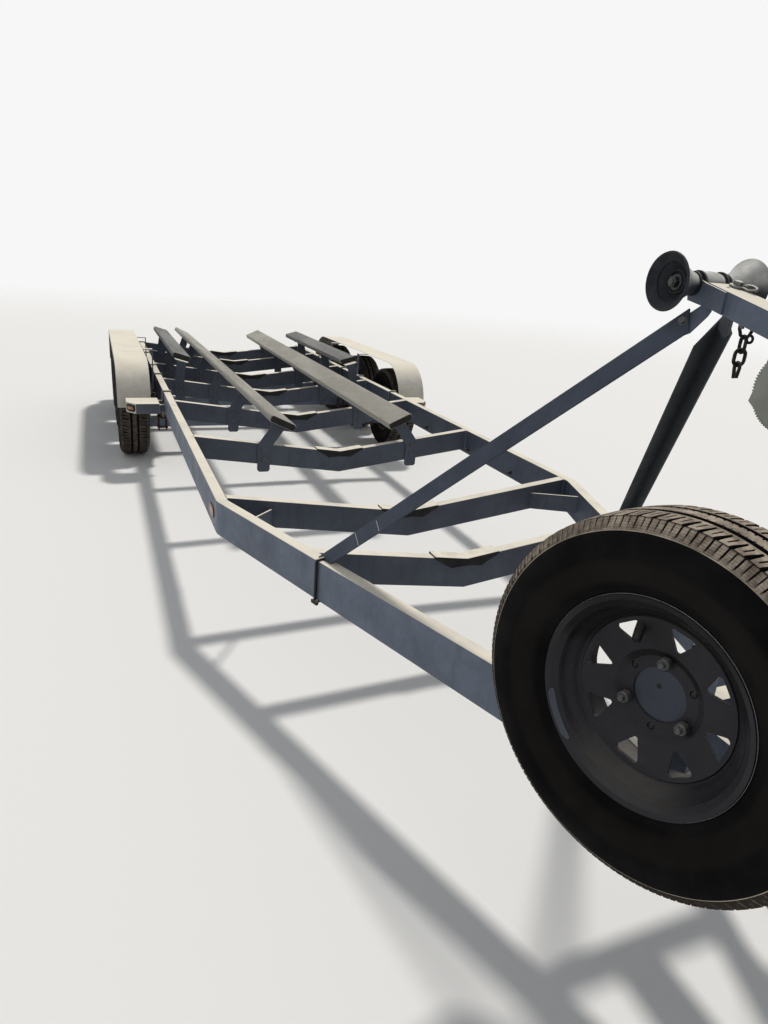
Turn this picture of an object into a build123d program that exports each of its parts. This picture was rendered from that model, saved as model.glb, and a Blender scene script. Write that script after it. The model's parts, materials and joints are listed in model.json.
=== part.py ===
from build123d import *
import math
import os

# Galvanised triple-axle boat trailer: two bent box rails, V crossmembers, four carpeted
# bunks, a bow stand with winch and roller, a spare wheel on the tongue and a swivel jack.
# +Y runs to the rear, +X to the right as seen from the hitch looking back, +Z up, and the
# tyres stand on z = 0.
# Places along Y are first given from the knee, where the tongue rails meet the straight
# rails; every piece is moved by KNEE_Y as it is written.

# Overall reach along Y from the knee
NOSE_REACH = 2850.0
BUNK_REACH = 5950.0
KNEE_Y = (NOSE_REACH - BUNK_REACH) / 2

# Side rails: box section, bent at the knee
RAIL_WIDTH = 50.8
RAIL_DEPTH = 152.4
RAIL_WALL = 4.8
RAIL_TOP = 604.0
RAIL_OUTER_X = 939.0
RAIL_REAR = 5600.0
TONGUE_ANGLE = 19.4
KNEE_RADIUS = 130.0
RAIL_BOTTOM = RAIL_TOP - RAIL_DEPTH
RAIL_INNER_X = RAIL_OUTER_X - RAIL_WIDTH

# Centre tube of the tongue, from the front beam to the coupler
TONGUE_TUBE_WIDTH = 101.6
TONGUE_TUBE_DEPTH = 127.0
TONGUE_TUBE_WALL = 6.4
FRONT_BEAM_Y = -1720.0

# Crossmembers: box section with a shallow V, and the front face of each from the knee
CROSS_DEPTH = 127.0
CROSS_THICKNESS = 50.8
CROSS_WALL = 4.8
# columns: front face y, dip of the V at the centre line, carries inner brackets, outer brackets
CROSSMEMBERS = [
    (-552.0, 125.0, False, False),
    (33.0, 124.0, False, False),
    (1131.0, 122.0, True, False),
    (2150.0, 118.0, True, False),
    (3080.0, 114.0, True, True),
    (3920.0, 110.0, True, True),
    (4820.0, 106.0, True, True),
    (5500.0, 104.0, True, False),
]
KNEE_CROSSMEMBER = 1

# Rubber pads folded over the middle of the crossmembers
PAD_HALF_LENGTH = 150.0
PAD_THICKNESS = 8.0
PAD_TIP_X = 71.0
PAD_TIP_DROP = 40.0
PAD_NOTCH_DROP = 25.0
PAD_END_DROP = 4.0

# Diagonal gussets from the tongue rails down to the second crossmember
GUSSET_RAIL_Y = -187.0
GUSSET_RAIL_DROP = 20.0
GUSSET_CROSS_X = 688.0
GUSSET_CROSS_DROP = 65.0
GUSSET_THICKNESS = 6.4
GUSSET_DEPTH = 85.0

# Long inner bunks
INNER_BUNK_FRONT = 1080.0
INNER_BUNK_FRONT_X = 370.0
INNER_BUNK_REAR_X = 420.0
INNER_BUNK_TOP = 703.0
INNER_BUNK_WIDTH = 170.0
INNER_BUNK_TILT = 25.0

# Short outer bunks
OUTER_BUNK_FRONT = 3150.0
OUTER_BUNK_REAR = 5200.0
OUTER_BUNK_X = 725.0
OUTER_BUNK_TOP = 793.0
OUTER_BUNK_WIDTH = 146.0
OUTER_BUNK_TILT = 15.8

BUNK_THICKNESS = 45.0
BUNK_EDGE_RADIUS = 14.0

# Bunk brackets: a strap on the crossmember's front face under a tilted seat
STRAP_WIDTH = 76.0
STRAP_THICKNESS = 8.0
STRAP_LOW = 377.0
INNER_STRAP_X = 485.0
INNER_STRAP_BEND = 530.0
OUTER_STRAP_X = 760.0
OUTER_STRAP_BEND = 624.0
SEAT_LENGTH = 76.0
SEAT_WIDTH = 110.0
STRAP_CORNER = 18.0
SEAT_CLEARANCE = 0.6

# Axles, wheels and springs
AXLE_COUNT = 3
AXLE_FIRST = 3050.0
AXLE_SPACING = 838.0
TYRE_RADIUS = 359.25
TYRE_WIDTH = 222.0
TREAD_WIDTH = 170.0
WHEEL_X = 1143.0
RIM_SEAT_RADIUS = 190.5
RIM_FLANGE_RADIUS = 208.5
RIM_HALF_WIDTH = 84.0
RIM_WELL_RADIUS = 166.0
RIM_THICKNESS = 4.0
RIM_LIP = 16.0
BEAD_CLEARANCE = 0.3
DISC_THICKNESS = 7.0
DISC_RADIUS = 157.0
DISC_CROWN = 24.0
HUB_RING_RADIUS = 79.0
HUB_RING_RISE = 8.0
WINDOW_COUNT = 8
WINDOW_RADIUS = 123.0
WINDOW_BASE = 60.0
WINDOW_HEIGHT = 50.0
WINDOW_TURN = 9.5
CENTRE_BORE_RADIUS = 54.0
LUG_CIRCLE_RADIUS = 69.85
LUG_COUNT = 6
LUG_HOLE_RADIUS = 7.5
AXLE_TUBE = 76.2
AXLE_DROP = 101.6
AXLE_END_GAP = 12.0
AXLE_PLATE_THICKNESS = 24.0
SPINDLE_RADIUS = 22.0
SPINDLE_CLEARANCE = 0.06
HUB_RADIUS = 46.0
HUB_LENGTH = 96.0
HUB_NOSE_RADIUS = 38.0
HUB_NOSE_REACH = 62.0
DRUM_RADIUS = 140.0
DRUM_DEPTH = 52.0
DRUM_WALL = 8.0
BRAKE_GAP = 6.0
BACKPLATE_THICKNESS = 5.0
SPRING_WIDTH = 45.0
SPRING_SPAN = 641.0
SPRING_CAMBER = 46.0
LEAF_THICKNESS = 7.0
LEAF_COUNT = 3
EYE_RADIUS = 16.0
EYE_BOLT_RADIUS = 7.0
HANGER_THICKNESS = 6.4
HANGER_WIDTH = 70.0
HANGER_CLEARANCE = 0.3
EQUALISER_RISE = 34.0
EQUALISER_THICKNESS = 6.4
SPRING_SEAT = 6.0
TIE_PLATE = 9.5
U_BOLT_RADIUS = 6.4
U_BOLT_END = 26.0
U_BOLT_GAP = 0.5

# Fenders, their arms and the steps in front of and behind them
FENDER_INNER_X = 1022.0
FENDER_OUTER_X = 1260.0
FENDER_TOP = 795.0
FENDER_OVERHANG = 450.0
FENDER_RADIUS = 320.0
FENDER_SHEET = 3.0
FENDER_SKIRT = 45.0
FENDER_ARM_WIDTH = 50.0
FENDER_ARM_THICKNESS = 6.4
STEP_TOP = 540.0
STEP_DEPTH = 75.0
STEP_LENGTH = 230.0
STEP_INNER_X = 978.0
STEP_OUTER_X = 1205.0
STEP_CHAMFER_X = 61.0
STEP_CHAMFER_Y = 80.0
STEP_SHEET = 4.0
STEP_ARM = 40.0
# distance of each step arm from the step's outer end
STEP_ARM_PLACES = [50.0, 205.0]
LAMP_WIDTH = 66.0
LAMP_HEIGHT = 52.0
LAMP_DEPTH = 16.0

# Bow stand: post, sloping arm, braces, roller and winch
POST_SIZE = 76.2
POST_WALL = 4.8
POST_Y = -1960.0
ARM_REAR_Y = -1541.0
ARM_REAR_TOP = 1619.0
ARM_SLOPE = 15.6
ARM_LENGTH = 498.0
ARM_WIDTH = 76.2
ARM_DEPTH = 50.8
ARM_WALL = 4.8
BRACE_LEG = 50.8
BRACE_THICKNESS = 6.4
BRACE_TILT = 23.9
BRACE_FOOT = (681.2, -662.6, 604.0)
BRACE_HEAD = (61.1, -1522.3, 1559.2)
BRACE_COPE = 120.0
BRACE_BEVEL = 27.0
BRACE_TAB_CLEARANCE = 0.3
BRACE_TAB_LAP = 50.0
BRACE_TAB_CORNER = 10.0
ROLLER_Y = -1502.0
ROLLER_Z = 1614.5
ROLLER_SHAFT_RADIUS = 9.5
ROLLER_SHAFT_CLEARANCE = 0.08
BELL_RADIUS = 68.5
BELL_NECK_RADIUS = 24.0
BELL_LENGTH = 79.0
BELL_RECESS = 34.0
BELL_LIP = 5.0
SPOOL_RADIUS = 30.0
ROLLER_SIDE_GAP = 5.0
EAR_THICKNESS = 6.4
EAR_RADIUS = 18.0
EAR_DROP = 38.0
EAR_LAP = 60.0
WINCH_Y = -1823.0
WINCH_Z = 1414.0
WINCH_PLATE_X = 58.0
WINCH_PLATE_THICKNESS = 4.0
WINCH_NOSE_Y = -1740.0
WINCH_NOSE_Z = 1382.0
GEAR_RADIUS = 85.0
GEAR_TEETH = 80
GEAR_GAP = 2.0
GEAR_TOOTH_HEIGHT = 3.5
GEAR_WIDTH = 10.0
DRUM_CORE_RADIUS = 22.0
WINCH_SHAFT_RADIUS = 9.5
WINCH_SHAFT_CLEARANCE = 0.3
PINION_RADIUS = 15.0
PINION_ANGLE = 235.0
PINION_SHAFT_RADIUS = 8.0
CRANK_LENGTH = 210.0
CRANK_WIDTH = 25.0
CRANK_THICKNESS = 8.0
CRANK_GRIP_RADIUS = 14.0
CRANK_GRIP_LENGTH = 110.0
CRANK_ANGLE = 20.0

# Spare wheel on the left tongue rail: distance along the rail from the knee,
# distance of its middle plane from the rail's outer face, height of its centre, and how far
# it sits turned from the rail and leaning in
SPARE_ALONG = 2064.0
SPARE_OUT = 164.0
SPARE_Z = 871.0
SPARE_TURN = 2.7
SPARE_LEAN = 2.6
CARRIER_TUBE = 50.8
CARRIER_PLATE_RADIUS = 88.0
CARRIER_PLATE_THICKNESS = 8.0
CARRIER_FOOT_LENGTH = 180.0
CAP_RECESS = 4.0
CAP_HOLE_RADIUS = 3.0
CAP_HOLE_PLACE = (-6.0, 15.0)

# Coupler with a socket for a 2-5/16 in ball
NOSE_RADIUS = 50.0
BALL_Y = NOSE_RADIUS - NOSE_REACH
SOCKET_RADIUS = 29.6
SOCKET_DEPTH = 24.0
COUPLER_WALL = 6.0
SOCKET_TO_TUBE = 40.0
COUPLER_LENGTH = 270.0
COUPLER_REAR = BALL_Y + COUPLER_LENGTH
COUPLER_SIDE_DEPTH = 62.0
COUPLER_CLEARANCE = 0.3
LATCH_WIDTH = 22.0
LATCH_LENGTH = 135.0
LATCH_HEIGHT = 34.0

# Swivel jack on the right tongue rail
JACK_ALONG = 2050.0
JACK_OUT = 64.0
JACK_PIVOT_Z = 528.0
JACK_TUBE_RADIUS = 28.5
JACK_TUBE_LOW = 250.0
JACK_TUBE_HIGH = 930.0
JACK_LEG_RADIUS = 24.0
JACK_LEG_CLEARANCE = 0.3
JACK_LEG_TOP = 680.0
JACK_FOOT_SIZE = 110.0
JACK_FOOT_THICKNESS = 10.0
JACK_PLATE = 130.0
JACK_PLATE_THICKNESS = 9.5
JACK_SWIVEL_GAP = 1.0
JACK_PIVOT_RADIUS = 16.0
JACK_PIVOT_CLEARANCE = 0.08

AXLE_Z = TYRE_RADIUS
AXLE_YS = [AXLE_FIRST + AXLE_SPACING * i for i in range(AXLE_COUNT)]
SPRING_X = RAIL_OUTER_X - RAIL_WIDTH / 2
FENDER_FRONT = AXLE_YS[0] - FENDER_OVERHANG
FENDER_REAR = AXLE_YS[-1] + FENDER_OVERHANG
STEP_FRONT = FENDER_FRONT - STEP_LENGTH
STEP_REAR = FENDER_REAR + STEP_LENGTH
STEP_BOTTOM = STEP_TOP - STEP_DEPTH
TONGUE = math.radians(TONGUE_ANGLE)


# Shared shapes

def outline(points, rounds=None):
    """Closed flat outline through (x, y) points; rounds gives a radius for some corners."""
    face = make_face(Polyline(*points, close=True))
    for number, radius in (rounds or {}).items():
        corner = face.vertices().sort_by_distance(Vector(*points[number]))[0]
        face = fillet(corner, radius)
    return face


def plan_prism(points, low, high, rounds=None):
    """Prism over an outline in plan, from height low to height high."""
    return extrude(Pos(0, 0, low) * outline(points, rounds), high - low, dir=(0, 0, 1))


def cross_prism(points, front, rear, rounds=None):
    """Prism of an outline in the X-Z plane, from y = front to y = rear."""
    face = Plane((0, front, 0), x_dir=(1, 0, 0), z_dir=(0, -1, 0)) * outline(points, rounds)
    return extrude(face, rear - front, dir=(0, 1, 0))


def side_prism(points, inner, outer, rounds=None):
    """Prism of an outline in the Y-Z plane, from x = inner to x = outer."""
    face = Plane((inner, 0, 0), x_dir=(0, 1, 0), z_dir=(1, 0, 0)) * outline(points, rounds)
    return extrude(face, outer - inner, dir=(1, 0, 0))


def block(x0, x1, y0, y1, z0, z1):
    """Box between two corners."""
    middle = Pos((x0 + x1) / 2, (y0 + y1) / 2, (z0 + z1) / 2)
    return middle * Box(abs(x1 - x0), abs(y1 - y0), abs(z1 - z0))


def rod_x(radius, x0, x1, y, z):
    """Round bar along X."""
    return Pos((x0 + x1) / 2, y, z) * Rot(0, 90, 0) * Cylinder(radius, abs(x1 - x0))


def strip_points(centre, width):
    """Outline of a strip of even width along a bent centre line, with mitred bends."""
    left = []
    right = []
    for i, (x, y) in enumerate(centre):
        before = centre[max(i - 1, 0)]
        after = centre[min(i + 1, len(centre) - 1)]
        turn_in = math.atan2(y - before[1], x - before[0]) if i else None
        turn_out = math.atan2(after[1] - y, after[0] - x) if i < len(centre) - 1 else None
        turn_in = turn_out if turn_in is None else turn_in
        turn_out = turn_in if turn_out is None else turn_out
        heading = (turn_in + turn_out) / 2
        reach = width / 2 / math.cos((turn_out - turn_in) / 2)
        left.append((x - reach * math.sin(heading), y + reach * math.cos(heading)))
        right.append((x + reach * math.sin(heading), y - reach * math.cos(heading)))
    return left + right[::-1]


def mirrored(solid):
    """The same piece on the other side of the centre plane."""
    return mirror(solid, about=Plane.YZ)


def both_sides(solid):
    """A piece and its mirror image."""
    return [solid, mirrored(solid)]


def save(node, solids):
    """Write one node, moved so that the trailer's middle is over the origin."""
    moved = [Pos(0, KNEE_Y, 0) * solid for solid in solids]
    shape = moved[0] if len(moved) == 1 else Compound(children=moved)
    export_step(shape, f"parts/{node}.step")


# Rails and the beams between them

def rail_line(depth, front_x):
    """Plan line of a rail face, depth inside the outer face: rear end, knee and front end."""
    straight_x = RAIL_OUTER_X - depth
    slant_x = RAIL_OUTER_X - depth / math.cos(TONGUE)
    knee = (straight_x, depth * math.tan(TONGUE / 2))
    front = (front_x, (front_x - slant_x) / math.tan(TONGUE))
    return knee, front


def rail_bar(inset, rear, low, high):
    """Right rail, or its hollow when inset by the wall."""
    front_x = TONGUE_TUBE_WIDTH / 2
    outer_knee, outer_front = rail_line(inset, front_x)
    inner_knee, inner_front = rail_line(RAIL_WIDTH - inset, front_x)
    points = [
        (RAIL_OUTER_X - inset, rear),
        outer_knee,
        outer_front,
        inner_front,
        inner_knee,
        (RAIL_INNER_X + inset, rear),
    ]
    rounds = {1: KNEE_RADIUS - inset, 4: KNEE_RADIUS - RAIL_WIDTH + inset}
    return plan_prism(points, low, high, rounds)


def rail():
    hollow = rail_bar(RAIL_WALL, RAIL_REAR + 1, RAIL_BOTTOM + RAIL_WALL, RAIL_TOP - RAIL_WALL)
    return rail_bar(0, RAIL_REAR, RAIL_BOTTOM, RAIL_TOP) - hollow


def between_rails():
    """Space inside the rails, which gives every beam its end cuts."""
    knee, front = rail_line(RAIL_WIDTH, 0)
    right = [(RAIL_INNER_X, RAIL_REAR + 1), knee, front]
    left = [(-x, y) for x, y in right[1::-1]]
    return plan_prism(right + left, 0, RAIL_TOP + 1)


def v_points(dip, top, bottom, reach):
    """Outline of a V crossmember between two heights at its ends."""
    upper = [(-reach, top), (0, top - dip), (reach, top)]
    lower = [(reach, bottom), (0, bottom - dip), (-reach, bottom)]
    return upper + lower


def crossmember(front, dip, solid=False):
    top = RAIL_TOP
    bottom = RAIL_TOP - CROSS_DEPTH
    rear = front + CROSS_THICKNESS
    bar = cross_prism(v_points(dip, top, bottom, RAIL_INNER_X), front, rear)
    if not solid:
        inner = v_points(dip, top - CROSS_WALL, bottom + CROSS_WALL, RAIL_INNER_X)
        bar = bar - cross_prism(inner, front + CROSS_WALL, rear - CROSS_WALL)
    return bar & between_rails()


def front_beam():
    rear = FRONT_BEAM_Y
    front = rear - CROSS_THICKNESS
    low = RAIL_TOP - CROSS_DEPTH
    reach = RAIL_INNER_X
    outer = block(-reach, reach, front, rear, low, RAIL_TOP)
    wall = CROSS_WALL
    inner = block(-reach, reach, front + wall, rear - wall, low + wall, RAIL_TOP - wall)
    return (outer - inner) & between_rails()


def keel_pad(front, dip):
    """Rubber folded over a crossmember, with two tongues down each face."""
    slope = dip / RAIL_INNER_X
    top = RAIL_TOP - dip

    def height(x, drop):
        return top + abs(x) * slope - drop

    lower = [(-PAD_TIP_X, PAD_TIP_DROP), (0, PAD_NOTCH_DROP), (PAD_TIP_X, PAD_TIP_DROP)]
    points = [
        (-PAD_HALF_LENGTH, height(PAD_HALF_LENGTH, -PAD_THICKNESS)),
        (0, height(0, -PAD_THICKNESS)),
        (PAD_HALF_LENGTH, height(PAD_HALF_LENGTH, -PAD_THICKNESS)),
        (PAD_HALF_LENGTH, height(PAD_HALF_LENGTH, PAD_END_DROP)),
    ]
    points += [(x, height(x, drop)) for x, drop in lower[::-1]]
    points.append((-PAD_HALF_LENGTH, height(PAD_HALF_LENGTH, PAD_END_DROP)))
    rear = front + CROSS_THICKNESS
    fold = cross_prism(points, front - PAD_THICKNESS, rear + PAD_THICKNESS)
    return fold - crossmember(front, dip, solid=True)


def knee_gusset():
    """Upright diagonal plate from the right tongue rail down to the second crossmember."""
    _, front = rail_line(RAIL_WIDTH, 0)
    cross_y = CROSSMEMBERS[KNEE_CROSSMEMBER][0]
    rail_x = (GUSSET_RAIL_Y - front[1]) * math.tan(TONGUE)
    run_x = rail_x - GUSSET_CROSS_X
    run_y = GUSSET_RAIL_Y - cross_y
    start_x = GUSSET_CROSS_X - 0.2 * run_x
    end_x = rail_x + 0.2 * run_x
    centre = [(end_x, GUSSET_RAIL_Y + 0.2 * run_y), (start_x, cross_y - 0.2 * run_y)]
    slope = (GUSSET_CROSS_DROP - GUSSET_RAIL_DROP) / run_x
    start_z = RAIL_TOP - GUSSET_CROSS_DROP - slope * (GUSSET_CROSS_X - start_x)
    end_z = RAIL_TOP - GUSSET_RAIL_DROP + slope * (end_x - rail_x)
    depth = GUSSET_DEPTH
    band = [(start_x, start_z), (end_x, end_z), (end_x, end_z - depth), (start_x, start_z - depth)]
    plate = plan_prism(strip_points(centre, GUSSET_THICKNESS), 0, RAIL_TOP)
    return plate & cross_prism(band, -NOSE_REACH, cross_y) & between_rails()


def tongue_tube():
    half = TONGUE_TUBE_WIDTH / 2
    low = RAIL_TOP - TONGUE_TUBE_DEPTH
    rear = FRONT_BEAM_Y - CROSS_THICKNESS
    front = BALL_Y + SOCKET_RADIUS + SOCKET_TO_TUBE
    wall = TONGUE_TUBE_WALL
    outer = block(-half, half, front, rear, low, RAIL_TOP)
    inner = block(-half + wall, half - wall, front - 1, rear + 1, low + wall, RAIL_TOP - wall)
    return outer - inner


def coupler():
    """Pressed channel over the tube, with a rounded nose around the ball socket."""
    half = TONGUE_TUBE_WIDTH / 2 + COUPLER_CLEARANCE + COUPLER_WALL
    roof = RAIL_TOP + COUPLER_CLEARANCE + COUPLER_WALL
    low = roof - COUPLER_SIDE_DEPTH
    neck_y = BALL_Y + 2 * NOSE_RADIUS
    body = plan_prism([(-half, COUPLER_REAR), (half, COUPLER_REAR), (half, neck_y),
                       (NOSE_RADIUS, BALL_Y), (-NOSE_RADIUS, BALL_Y), (-half, neck_y)], low, roof)
    nose = Pos(0, BALL_Y, (low + roof) / 2) * Cylinder(NOSE_RADIUS, roof - low)
    space_front = BALL_Y + SOCKET_RADIUS + SOCKET_TO_TUBE - COUPLER_CLEARANCE
    tube_space = block(-half + COUPLER_WALL, half - COUPLER_WALL, COUPLER_REAR + 1,
                       space_front, low - 1, roof - COUPLER_WALL)
    socket = Pos(0, BALL_Y, low + SOCKET_DEPTH) * Sphere(SOCKET_RADIUS)
    mouth = Pos(0, BALL_Y, low + (SOCKET_DEPTH - 1) / 2) * Cylinder(SOCKET_RADIUS, SOCKET_DEPTH + 1)
    latch_front = BALL_Y - NOSE_RADIUS / 2
    latch_points = [
        (latch_front, roof),
        (latch_front, roof + LATCH_HEIGHT * 0.6),
        (latch_front + LATCH_LENGTH * 0.3, roof + LATCH_HEIGHT),
        (latch_front + LATCH_LENGTH, roof + LATCH_HEIGHT),
        (latch_front + LATCH_LENGTH, roof + LATCH_HEIGHT * 0.75),
        (latch_front + LATCH_LENGTH * 0.45, roof + LATCH_HEIGHT * 0.6),
        (latch_front + LATCH_LENGTH * 0.4, roof),
    ]
    latch = side_prism(latch_points, -LATCH_WIDTH / 2, LATCH_WIDTH / 2)
    return body + nose + latch - tube_space - socket - mouth


# Bunks and their brackets

def bunk(start, end, width, tilt):
    """Carpeted board between two top-centre points (x, y, z) on the right side."""
    run = Vector(*end) - Vector(*start)
    lean = math.radians(tilt)
    normal = Vector(-math.sin(lean), 0, math.cos(lean))
    across = Vector(math.cos(lean), 0, math.sin(lean))
    middle = Vector(*start) - normal * (BUNK_THICKNESS / 2)
    section = Plane(middle, x_dir=across, z_dir=run.normalized())
    return extrude(section * RectangleRounded(width, BUNK_THICKNESS, BUNK_EDGE_RADIUS), run.length)


def inner_bunk_x(y):
    share = (y - INNER_BUNK_FRONT) / (BUNK_REACH - INNER_BUNK_FRONT)
    return INNER_BUNK_FRONT_X + share * (INNER_BUNK_REAR_X - INNER_BUNK_FRONT_X)


def inner_bunk():
    # the board runs slightly outwards, so its middle stops short by what its corner leads
    slant = (INNER_BUNK_REAR_X - INNER_BUNK_FRONT_X) / (BUNK_REACH - INNER_BUNK_FRONT)
    rear = BUNK_REACH - INNER_BUNK_WIDTH / 2 * slant
    start = (INNER_BUNK_FRONT_X, INNER_BUNK_FRONT, INNER_BUNK_TOP)
    end = (INNER_BUNK_REAR_X, rear, INNER_BUNK_TOP)
    return bunk(start, end, INNER_BUNK_WIDTH, INNER_BUNK_TILT)


def outer_bunk():
    start = (OUTER_BUNK_X, OUTER_BUNK_FRONT, OUTER_BUNK_TOP)
    end = (OUTER_BUNK_X, OUTER_BUNK_REAR, OUTER_BUNK_TOP)
    return bunk(start, end, OUTER_BUNK_WIDTH, OUTER_BUNK_TILT)


def bracket(front, bunk_x, bunk_top, tilt, strap_x, bend_z):
    """Strap down a crossmember's front face, bent up to a seat under the bunk."""
    lean = math.radians(tilt)
    drop = BUNK_THICKNESS + SEAT_CLEARANCE
    seat_x = bunk_x + drop * math.sin(lean)
    seat_z = bunk_top - drop * math.cos(lean)
    seat = Pos(seat_x, front + (SEAT_LENGTH - STRAP_THICKNESS) / 2, seat_z) * Rot(0, -tilt, 0)
    seat = seat * Pos(0, 0, -STRAP_THICKNESS / 2) * Box(SEAT_WIDTH, SEAT_LENGTH, STRAP_THICKNESS)
    under = STRAP_THICKNESS / 2
    head = (seat_x + under * math.sin(lean), seat_z - under * math.cos(lean))
    centre = [(strap_x, STRAP_LOW), (strap_x, bend_z), head]
    strap = cross_prism(strip_points(centre, STRAP_WIDTH), front - STRAP_THICKNESS, front,
                        {0: STRAP_CORNER, 5: STRAP_CORNER})
    room = 2 * SEAT_WIDTH
    above = Pos(seat_x, front, seat_z) * Rot(0, -tilt, 0) * block(-room, room, -room, room, 0, room)
    return seat + (strap - above)


def inner_brackets():
    pieces = []
    for front, _, inner, _ in CROSSMEMBERS:
        if inner:
            piece = bracket(front, inner_bunk_x(front), INNER_BUNK_TOP, INNER_BUNK_TILT,
                            INNER_STRAP_X, INNER_STRAP_BEND)
            pieces += both_sides(piece)
    return pieces


def outer_brackets():
    pieces = []
    for front, _, _, outer in CROSSMEMBERS:
        if outer:
            piece = bracket(front, OUTER_BUNK_X, OUTER_BUNK_TOP, OUTER_BUNK_TILT,
                            OUTER_STRAP_X, OUTER_STRAP_BEND)
            pieces += both_sides(piece)
    return pieces


# Wheels: each is made around the X axis, outer side towards +X

def tyre():
    half = TYRE_WIDTH / 2
    tread = TREAD_WIDTH / 2
    seat = RIM_SEAT_RADIUS + BEAD_CLEARANCE
    flange = RIM_HALF_WIDTH - RIM_THICKNESS - BEAD_CLEARANCE
    toe = flange - RIM_LIP + 2
    heel = (flange - 4, RIM_FLANGE_RADIUS - 8.5)
    bead_top = RIM_FLANGE_RADIUS + 4
    crown = TYRE_RADIUS - 7
    widest = 280.0
    shoulder = 338.0
    left_heel = (-heel[0], heel[1])
    bead = Polyline((-flange, bead_top), left_heel, (-toe, seat), (toe, seat), heel, (flange, bead_top))
    right_wall = ThreePointArc((flange, bead_top), (half, widest), (half - 10, shoulder))
    right_shoulder = Line((half - 10, shoulder), (tread, crown))
    tread_line = ThreePointArc((tread, crown), (0, TYRE_RADIUS), (-tread, crown))
    left_shoulder = Line((-tread, crown), (-half + 10, shoulder))
    left_wall = ThreePointArc((-half + 10, shoulder), (-half, widest), (-flange, bead_top))
    lines = (bead, right_wall, right_shoulder, tread_line, left_shoulder, left_wall)
    section = make_face(Wire([edge for line in lines for edge in line.edges()]))
    return revolve(section, axis=Axis.X)


def rim():
    """Pressed steel rim and its disc, with triangular windows around the hub ring."""
    half = RIM_HALF_WIDTH
    thick = RIM_THICKNESS
    seat = RIM_SEAT_RADIUS - BEAD_CLEARANCE
    well = RIM_WELL_RADIUS
    flange = RIM_FLANGE_RADIUS
    # one flared lip: the side towards the tyre, then the open side
    lip = [
        (half - thick - RIM_LIP + 2, seat),
        (half - thick - 4, flange - 9),
        (half - thick, flange),
        (half, flange),
        (half - 4, flange - 10),
        (half - RIM_LIP, seat - thick),
    ]
    floor = well + thick
    inside = seat - thick
    well_outer = [(-half + 34, seat), (-half + 50, floor), (-half + 96, floor), (-half + 112, seat)]
    well_inner = [(-half + 114, inside), (-half + 98, well), (-half + 48, well), (-half + 32, inside)]
    far_lip = [(-x, radius) for x, radius in lip[::-1]]
    barrel = revolve(make_face(Polyline(*far_lip, *well_outer, *lip, *well_inner, close=True)), axis=Axis.X)
    rise = HUB_RING_RISE
    disc_profile = [
        (0, CENTRE_BORE_RADIUS),
        (0, HUB_RING_RADIUS),
        (rise, HUB_RING_RADIUS + 14),
        (DISC_CROWN, DISC_RADIUS),
        (0, well + 0.5),
        (DISC_THICKNESS, well + 0.5),
        (DISC_CROWN + DISC_THICKNESS, DISC_RADIUS),
        (rise + DISC_THICKNESS, HUB_RING_RADIUS + 12),
        (DISC_THICKNESS, HUB_RING_RADIUS - 2),
        (DISC_THICKNESS, CENTRE_BORE_RADIUS),
    ]
    disc = revolve(make_face(Polyline(*disc_profile, close=True)), axis=Axis.X)
    base = WINDOW_RADIUS + WINDOW_HEIGHT / 2
    tip = WINDOW_RADIUS - WINDOW_HEIGHT / 2
    window = outline([(-WINDOW_BASE / 2, base), (WINDOW_BASE / 2, base), (0, tip)], {0: 7.0, 1: 7.0, 2: 5.0})
    for i in range(WINDOW_COUNT):
        turn = 360 / WINDOW_COUNT * i - WINDOW_TURN
        cutter = extrude(Plane.YZ * Rot(0, 0, turn) * window, 60, dir=(1, 0, 0))
        disc = disc - cutter
    hole = Plane.YZ * Pos(0, LUG_CIRCLE_RADIUS, 0) * Circle(LUG_HOLE_RADIUS)
    for i in range(LUG_COUNT):
        cutter = extrude(Rot(360 / LUG_COUNT * i, 0, 0) * hole, 30, dir=(1, 0, 0))
        disc = disc - cutter
    return barrel + disc


def hub():
    """Hub, brake drum and grease cap behind and through the disc."""
    points = [
        (-HUB_LENGTH, SPINDLE_RADIUS + SPINDLE_CLEARANCE),
        (-HUB_LENGTH, HUB_RADIUS),
        (-HUB_LENGTH + 30, HUB_RADIUS),
        (-12 - DRUM_WALL, HUB_RADIUS + 12),
        (-12 - DRUM_WALL, DRUM_RADIUS - DRUM_WALL),
        (-12 - DRUM_DEPTH, DRUM_RADIUS - DRUM_WALL),
        (-12 - DRUM_DEPTH, DRUM_RADIUS),
        (-12, DRUM_RADIUS),
        (-12, LUG_CIRCLE_RADIUS + 14),
        (0, LUG_CIRCLE_RADIUS + 14),
        (0, HUB_NOSE_RADIUS + 6),
        (20, HUB_NOSE_RADIUS),
        (HUB_NOSE_REACH - 8, HUB_NOSE_RADIUS),
        (HUB_NOSE_REACH, HUB_NOSE_RADIUS - 8),
        (HUB_NOSE_REACH, 0),
        (34, 0),
        (34, SPINDLE_RADIUS + SPINDLE_CLEARANCE),
    ]
    return revolve(make_face(Polyline(*points, close=True)), axis=Axis.X)


def wheel_place(side, y):
    """Place of a wheel on the right (1) or left (-1) side, outer face outwards."""
    turn = 0 if side > 0 else 180
    return Pos(side * WHEEL_X, y, AXLE_Z) * Rot(0, 0, turn)


# Axles and suspension

def backplate():
    """Dished brake backing plate around the inner end of a hub."""
    rim_face = -12 - DRUM_DEPTH - BRAKE_GAP
    back = -HUB_LENGTH - AXLE_END_GAP
    thick = BACKPLATE_THICKNESS
    points = [
        (back - thick, 0),
        (back, 0),
        (back, HUB_RADIUS + 22),
        (rim_face, DRUM_RADIUS - 24),
        (rim_face, DRUM_RADIUS),
        (rim_face - thick, DRUM_RADIUS),
        (rim_face - thick, DRUM_RADIUS - 21),
        (back - thick, HUB_RADIUS + 25),
    ]
    return revolve(make_face(Polyline(*points, close=True)), axis=Axis.X)


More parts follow.
